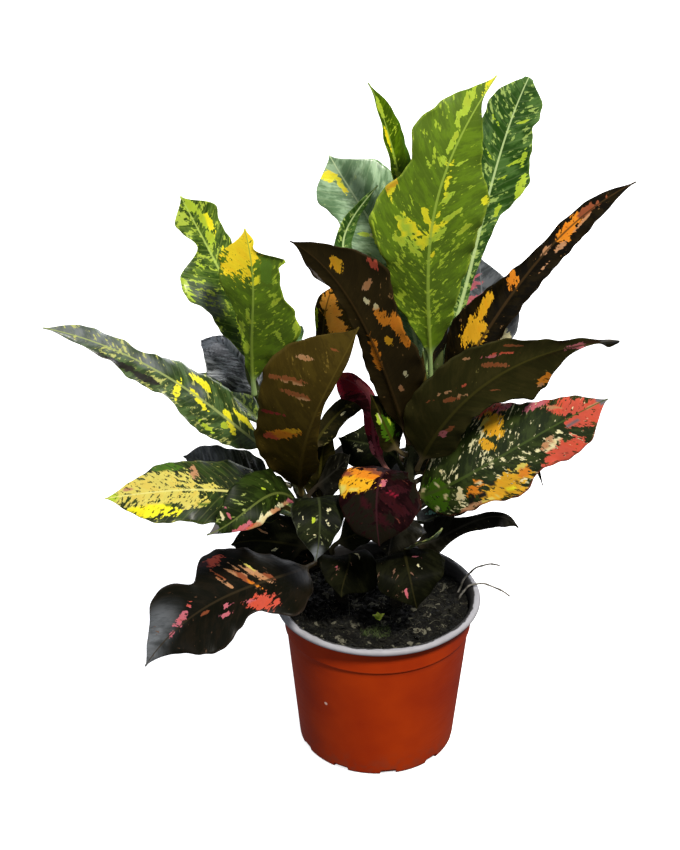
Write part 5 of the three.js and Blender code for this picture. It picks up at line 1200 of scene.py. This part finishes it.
def fibre_material(name, dark, light, rough):
    """Dry plant fibre: pale and dull, darker in patches along its length."""
    material, node = new_material(name)
    place = node("TexCoord", out=3)
    patches = node("TexNoise", {"Vector": place, "Scale": 260.0, "Detail": 4.0})
    share = node("MapRange", {0: patches, 1: 0.35, 2: 0.65})
    colour = node("Mix", {0: share, 6: linear(dark), 7: linear(light)}, **MIX)
    relief = node("Bump", {"Strength": 0.4, "Distance": 0.0002, "Height": patches})
    surface = node("BsdfPrincipled", {"Base Color": colour, "Roughness": rough, "Normal": relief,
        "Specular IOR Level": 0.15})
    node("OutputMaterial", {"Surface": surface})
    return material


# The moss and the seedling: places on the soil, the moss's half sizes, and the seedling's leaves by
# their bearing and lift in radians and their length.
MOSS_PLACE = (-2, -42)
MOSS_SIZE = (10.0, 7.0)
SPROUT_PLACE = (0, -24)
SPROUT_LEAVES = ((0.3, 0.8, 7.0), (3.3, 0.9, 6.5), (1.9, 1.3, 6.5), (4.9, 0.6, 6.5), (4.1, 1.1, 5.5))


def make_soil():
    """The soil body, and the bark, crumbs, fibres and moss strewn on it."""
    peat = crumb_material("wet_peat", "#020201", "#0a0906", "#1a1710", 0.85)
    bark = crumb_material("bark_crumbs", "#060604", "#1a1913", "#5a584a", 0.85)
    straw = fibre_material("peat_fibre", "#1c1b15", "#74725f", 0.85)
    moss = fibre_material("moss_blades", "#232f18", "#5c6b3e", 0.8)
    place_piece(soil_top("potting_soil", SOIL_REACH, SOIL_RINGS, SOIL_TURNS, [peat], True),
                "potting_soil", "soil")
    reach = NECK_RADIUS - WALL - 5
    flat = lambda name, radius: soil_top(name, radius, 30, 60, [], False)
    chips = [chip(f"chip_{n}", 9 - n, 4.5 - 0.4 * n, 1.8, 40 + n) for n in range(6)]
    strew("bark_chips", flat("chip_ground", reach - 3), chips, bark, "potting_soil", Density=90000.0,
          Smallest=0.45, Largest=1.2, Tilt=0.55, Seed=3, **{"Least Distance": 0.0022})
    crumbs = [chip(f"crumb_{n}", 2.6 - 0.3 * n, 1.7, 1.2, 60 + n) for n in range(5)]
    strew("bark_crumbs", flat("crumb_ground", reach + 1), crumbs, bark, "potting_soil", Density=150000.0,
          Smallest=0.5, Largest=1.3, Tilt=0.9, Seed=5, **{"Least Distance": 0.0011})
    strands = [strand(f"fibre_{n}", 4 + 2 * n, 0.19, 0.7 + 0.4 * n, 80 + n) for n in range(5)]
    strew("peat_fibres", flat("fibre_ground", reach - 6), strands, straw, "potting_soil", Density=17000.0,
          Smallest=0.4, Largest=1.1, Tilt=0.35, Seed=7, **{"Least Distance": 0.003})
    tuft = []
    for t in full_turn(20):
        x = MOSS_PLACE[0] + MOSS_SIZE[0] * math.cos(t)
        y = MOSS_PLACE[1] + MOSS_SIZE[1] * math.sin(t)
        tuft.append((x, y, soil_height(x, y) - 0.3))
    patch = mesh_object("moss_ground", np.array(tuft) * MM, [list(range(len(tuft)))], [])
    blades = [strand(f"moss_{n}", 3.2 + 0.5 * n, 0.22, 0.8, 90 + n, upright=True) for n in range(4)]
    strew("moss_tuft", patch, blades, moss, "leaf_green", Density=2600000.0,
          Smallest=0.5, Largest=1.15, Tilt=0.7, Seed=9, **{"Least Distance": 0.0004})


def make_sprout():
    """A seedling: a few pointed leaves that rise from one point."""
    green = fibre_material("seedling_leaf", "#8cab30", "#dcea60", 0.45)
    base = np.array([*SPROUT_PLACE, soil_height(*SPROUT_PLACE) - 0.5])
    rows, size = 9, 8
    points, faces = [], []
    for turn, lift, long in SPROUT_LEAVES:
        out = np.array([math.cos(turn) * math.cos(lift), math.sin(turn) * math.cos(lift), math.sin(lift)])
        side = np.array([-math.sin(turn), math.cos(turn), 0.0])
        up = np.cross(out, side)
        start = len(points)
        for i in range(rows):
            share = i / (rows - 1)
            wide = 0.3 + 2.6 * math.sin(math.pi * share ** 0.8) * (1 - 0.25 * share)
            centre = base + out * long * share + np.array([0, 0, 1.6 - 1.2 * share * share])
            for j in range(size):
                a = 2 * math.pi * j / size
                height = 0.22 * math.sin(a) + 0.25 * abs(math.cos(a)) * wide
                points.append(centre + side * wide * math.cos(a) + up * height)
        points += [base, centre + out * 0.3]
        one_leaf = ring_faces(rows, size, rows * size, rows * size + 1)
        faces += [tuple(start + n for n in face) for face in one_leaf]
    place_piece(mesh_object("seedling", np.array(points) * MM, faces, [green]), "leaf_lime")


# The stems and the dry stalks.
BUD_LENGTH = 14.0
BUD_ROWS = 12
STEM_TURNS = 36
STEM_ROW_STEP = 1.2
SCAR_STEP = 11.0
SCAR_TURN = 137.5
DRY_STALK_RADIUS = 0.8
DRY_STALK_KNOTS = (0.22, 0.47, 0.7, 0.88)


def make_stem(key, material):
    """A woody shoot: bark ridges, a raised scar under each fallen or living leaf and a pointed bud."""
    path, radii = STEMS[key]
    a, b, c = np.array(path, float)
    length = float(np.linalg.norm(b - a) + np.linalg.norm(c - b))
    rows = int(length / STEM_ROW_STEP)
    share = np.concatenate([np.linspace(0, 1, rows), np.ones(BUD_ROWS)])
    past = np.concatenate([np.zeros(rows), np.linspace(0.5, BUD_LENGTH, BUD_ROWS)])[:, None]
    s = share[:, None]
    centre, along = on_curve(path, s)
    centre = centre + along * past
    across, out = level_frame(along)
    bare = radii[0] + (radii[1] - radii[0]) * s
    bud = past / BUD_LENGTH
    bud_radius = radii[1] * (1 - bud) ** 0.75 * (1 + 0.25 * np.sin(math.pi * bud)) + 0.25
    radius = np.where(past > 0, bud_radius, bare)
    turns = full_turn(STEM_TURNS)[None, :]
    scars = [(n * SCAR_STEP / length, n * math.radians(SCAR_TURN) + 0.4)
             for n in range(2, int(length / SCAR_STEP))]
    scars += [(leaf.share, math.radians(leaf.bearing)) for leaf in LEAVES.values() if leaf.stem == key]
    rise = 0.22 * np.sin(3 * turns + 5 * s) + 0.14 * np.sin(9 * turns + 30 * s + 2)
    rise = rise + 0.1 * np.sin(170 * s + 2 * turns)
    for place, bearing in scars:
        apart = (np.mod(turns - bearing + math.pi, 2 * math.pi) - math.pi) * radii[0]
        off = (s - place) * length
        rise = rise + 0.85 * np.exp(-((off + 2.0) / 1.5) ** 2 - (apart / 3.0) ** 2)
        rise = rise - 0.35 * np.exp(-((off - 0.2) / 1.0) ** 2 - (apart / 2.2) ** 2)
        rise = rise + 0.2 * np.exp(-((off + 3.4) / 0.7) ** 2)
    wide = radius + rise * np.minimum(1, radius / 2.5) * (past == 0) * 0.6
    rings = set_round(centre, out, wide * np.cos(turns), across, wide * np.sin(turns))
    stem = ringed(f"bark_{key}", rings, [centre[0], centre[-1] + along[-1] * 0.4], [material])
    set_attribute(stem.data, "share", "FLOAT", np.append(np.repeat(share, STEM_TURNS), [0.0, 1.0]))
    return place_piece(stem, "bark", "stem_" + key)


def bark_material():
    """Grown wood: grey-brown corky bark low down, greener towards the leaves, with pale pores. The low bark
    is darkened to near-black, partly as painted shade under the leaves.
    """
    material, node = new_material("corky_bark")
    place = node("TexCoord", out=3)
    share = node("Attribute", out=2, attribute_name="share")
    drawn = node("Mapping", {"Vector": place, "Scale": (520, 520, 110)})
    cracks = node("TexNoise", {"Vector": drawn, "Scale": 1.0, "Detail": 5.0})
    # Low bark: its own grey-brown, darkened to near-black as painted shade under the leaves.
    shaded_old_bark = node("Mix", {0: cracks, 6: linear("#100e09"), 7: linear("#2e2a20")}, **MIX)
    young = node("Mix", {0: cracks, 6: linear("#1c2410"), 7: linear("#4a5428")}, **MIX)
    green = node("MapRange", {0: share, 1: 0.55, 2: 0.95})
    body = node("Mix", {0: green, 6: shaded_old_bark, 7: young}, **MIX)
    pores = node("TexVoronoi", {"Vector": place, "Scale": 330.0})
    pore = node("MapRange", {0: pores, 1: 0.2, 2: 0.12})
    colour = node("Mix", {0: pore, 6: body, 7: linear("#5c5444")}, **MIX)
    height = node("Math", {0: pore, 1: 0.4, 2: cracks}, operation="MULTIPLY_ADD")
    relief = node("Bump", {"Strength": 0.7, "Distance": 0.0005, "Height": height})
    surface = node("BsdfPrincipled", {"Base Color": colour, "Roughness": 0.8, "Normal": relief,
        "Specular IOR Level": 0.15})
    node("OutputMaterial", {"Surface": surface})
    return material


def make_dry_stalk(name, path, material, seed):
    """A dried flower stalk: thin and slightly kinked, with small swellings."""
    rows, size = 60, 10
    s = np.linspace(0, 1, rows)[:, None]
    centre, along = on_curve(path, s)
    across, out = level_frame(along)
    rng = np.random.default_rng(seed)
    kink = 0.25 * np.sin(23 * s + rng.uniform(0, 6)) * np.minimum(1, 6 * s)
    centre = centre + out * kink
    knots = sum(0.25 * np.exp(-((s - k) / 0.015) ** 2) for k in DRY_STALK_KNOTS)
    wide = DRY_STALK_RADIUS * (1 - 0.25 * s) + knots
    turns = full_turn(size)[None, :]
    wide = wide * (1 + 0.1 * np.sin(5 * turns + 9 * s))
    rings = set_round(centre, out, wide * np.cos(turns), across, wide * np.sin(turns))
    stalk = ringed(name + "_straw", rings, [centre[0], centre[-1] + along[-1] * 0.8], [material])
    return place_piece(stalk, "dry_straw", name)


strewn = strewn_tree()
make_pot(pot_outside(), pot_lining())
make_soil()
make_sprout()
bark = bark_material()
for key in STEMS:
    make_stem(key, bark)
straw = fibre_material("dry_straw", "#4a4840", "#86827a", 0.8)
for number, (name, path) in enumerate(DRY_STALKS.items()):
    make_dry_stalk(name, path, straw, 300 + number)


# Stage, light and camera, in metres. Each lamp: its place, the height of the point on the pot's
# axis that it faces, its width, its power in watts and its colour. The camera looks down by degrees.
FLOOR_GLOW = 0.75
FLOOR_HALF = 9.0
ROOM_COLOUR = "#f2f6ff"
ROOM_STRENGTH = 0.16
LAMPS = {
    "key": ((0.6, -1.2, 2.1), 0.28, 0.4, 80, "#fffaf2"),
    "fill": ((-1.6, -1.4, 1.0), 0.25, 1.6, 10, "#f4f8ff"),
    "sky": ((-1.0, 0.9, 2.2), 0.3, 1.6, 17, "#eef4ff"),
    "back fill": ((0.8, 1.7, 0.9), 0.25, 1.4, 26, "#f6f8ff"),
}
CAMERA_PLACE = (-0.028, -1.083, 0.836)
CAMERA_DOWN = 27.8
LENS_MM = 73.4
SENSOR_MM = 36


def pale_floor():
    """Matt white photographer's board. It is lit from within, so the shadows stay faint, and it throws
    no light back on the object."""
    material, node = new_material("matt_white_board")
    place = node("TexCoord", out=3)
    mottle = node("TexNoise", {"Vector": place, "Scale": 4.0, "Detail": 2.0})
    colour = node("Mix", {0: mottle, 6: linear("#f2f2f1"), 7: linear("#f6f6f5")}, **MIX)
    surface = node("BsdfPrincipled", {"Base Color": colour, "Roughness": 0.95,
        "Emission Color": linear("#ffffff"), "Emission Strength": FLOOR_GLOW})
    node("OutputMaterial", {"Surface": surface})
    corners = [(x * FLOOR_HALF, y * FLOOR_HALF, 0) for x, y in ((-1, -1), (1, -1), (1, 1), (-1, 1))]
    floor = mesh_object("floor", corners, [(0, 1, 2, 3)], [material], smooth_faces=False)
    floor.visible_glossy = False
    floor.visible_diffuse = False


def add_lamp(name, place, height, size, power, tint):
    """A soft round lamp that faces the plant's axis."""
    data = bpy.data.lights.new(name, "AREA")
    data.shape = "DISK"
    data.size = size
    data.energy = power
    data.color = linear(tint)[:3]
    lamp = bpy.data.objects.new(name, data)
    lamp.location = place
    lamp.rotation_euler = (Vector((0, 0, height)) - Vector(place)).to_track_quat("-Z", "Y").to_euler()
    bpy.context.scene.collection.objects.link(lamp)


def light_and_camera():
    """The pale room, its lamps and the camera that stands as the photo's did."""
    world = bpy.data.worlds.new("studio")
    bpy.context.scene.world = world
    world.use_nodes = True
    world.node_tree.nodes["Background"].inputs[0].default_value = linear(ROOM_COLOUR)
    world.node_tree.nodes["Background"].inputs[1].default_value = ROOM_STRENGTH
    for name, values in LAMPS.items():
        add_lamp(name, *values)
    bpy.context.scene.view_settings.view_transform = "Standard"
    data = bpy.data.cameras.new("camera")
    data.lens = LENS_MM
    data.sensor_width = SENSOR_MM
    camera = bpy.data.objects.new("camera", data)
    camera.location = CAMERA_PLACE
    camera.rotation_euler = (math.radians(90 - CAMERA_DOWN), 0, 0)
    bpy.context.scene.collection.objects.link(camera)
    bpy.context.scene.camera = camera


pale_floor()
light_and_camera()
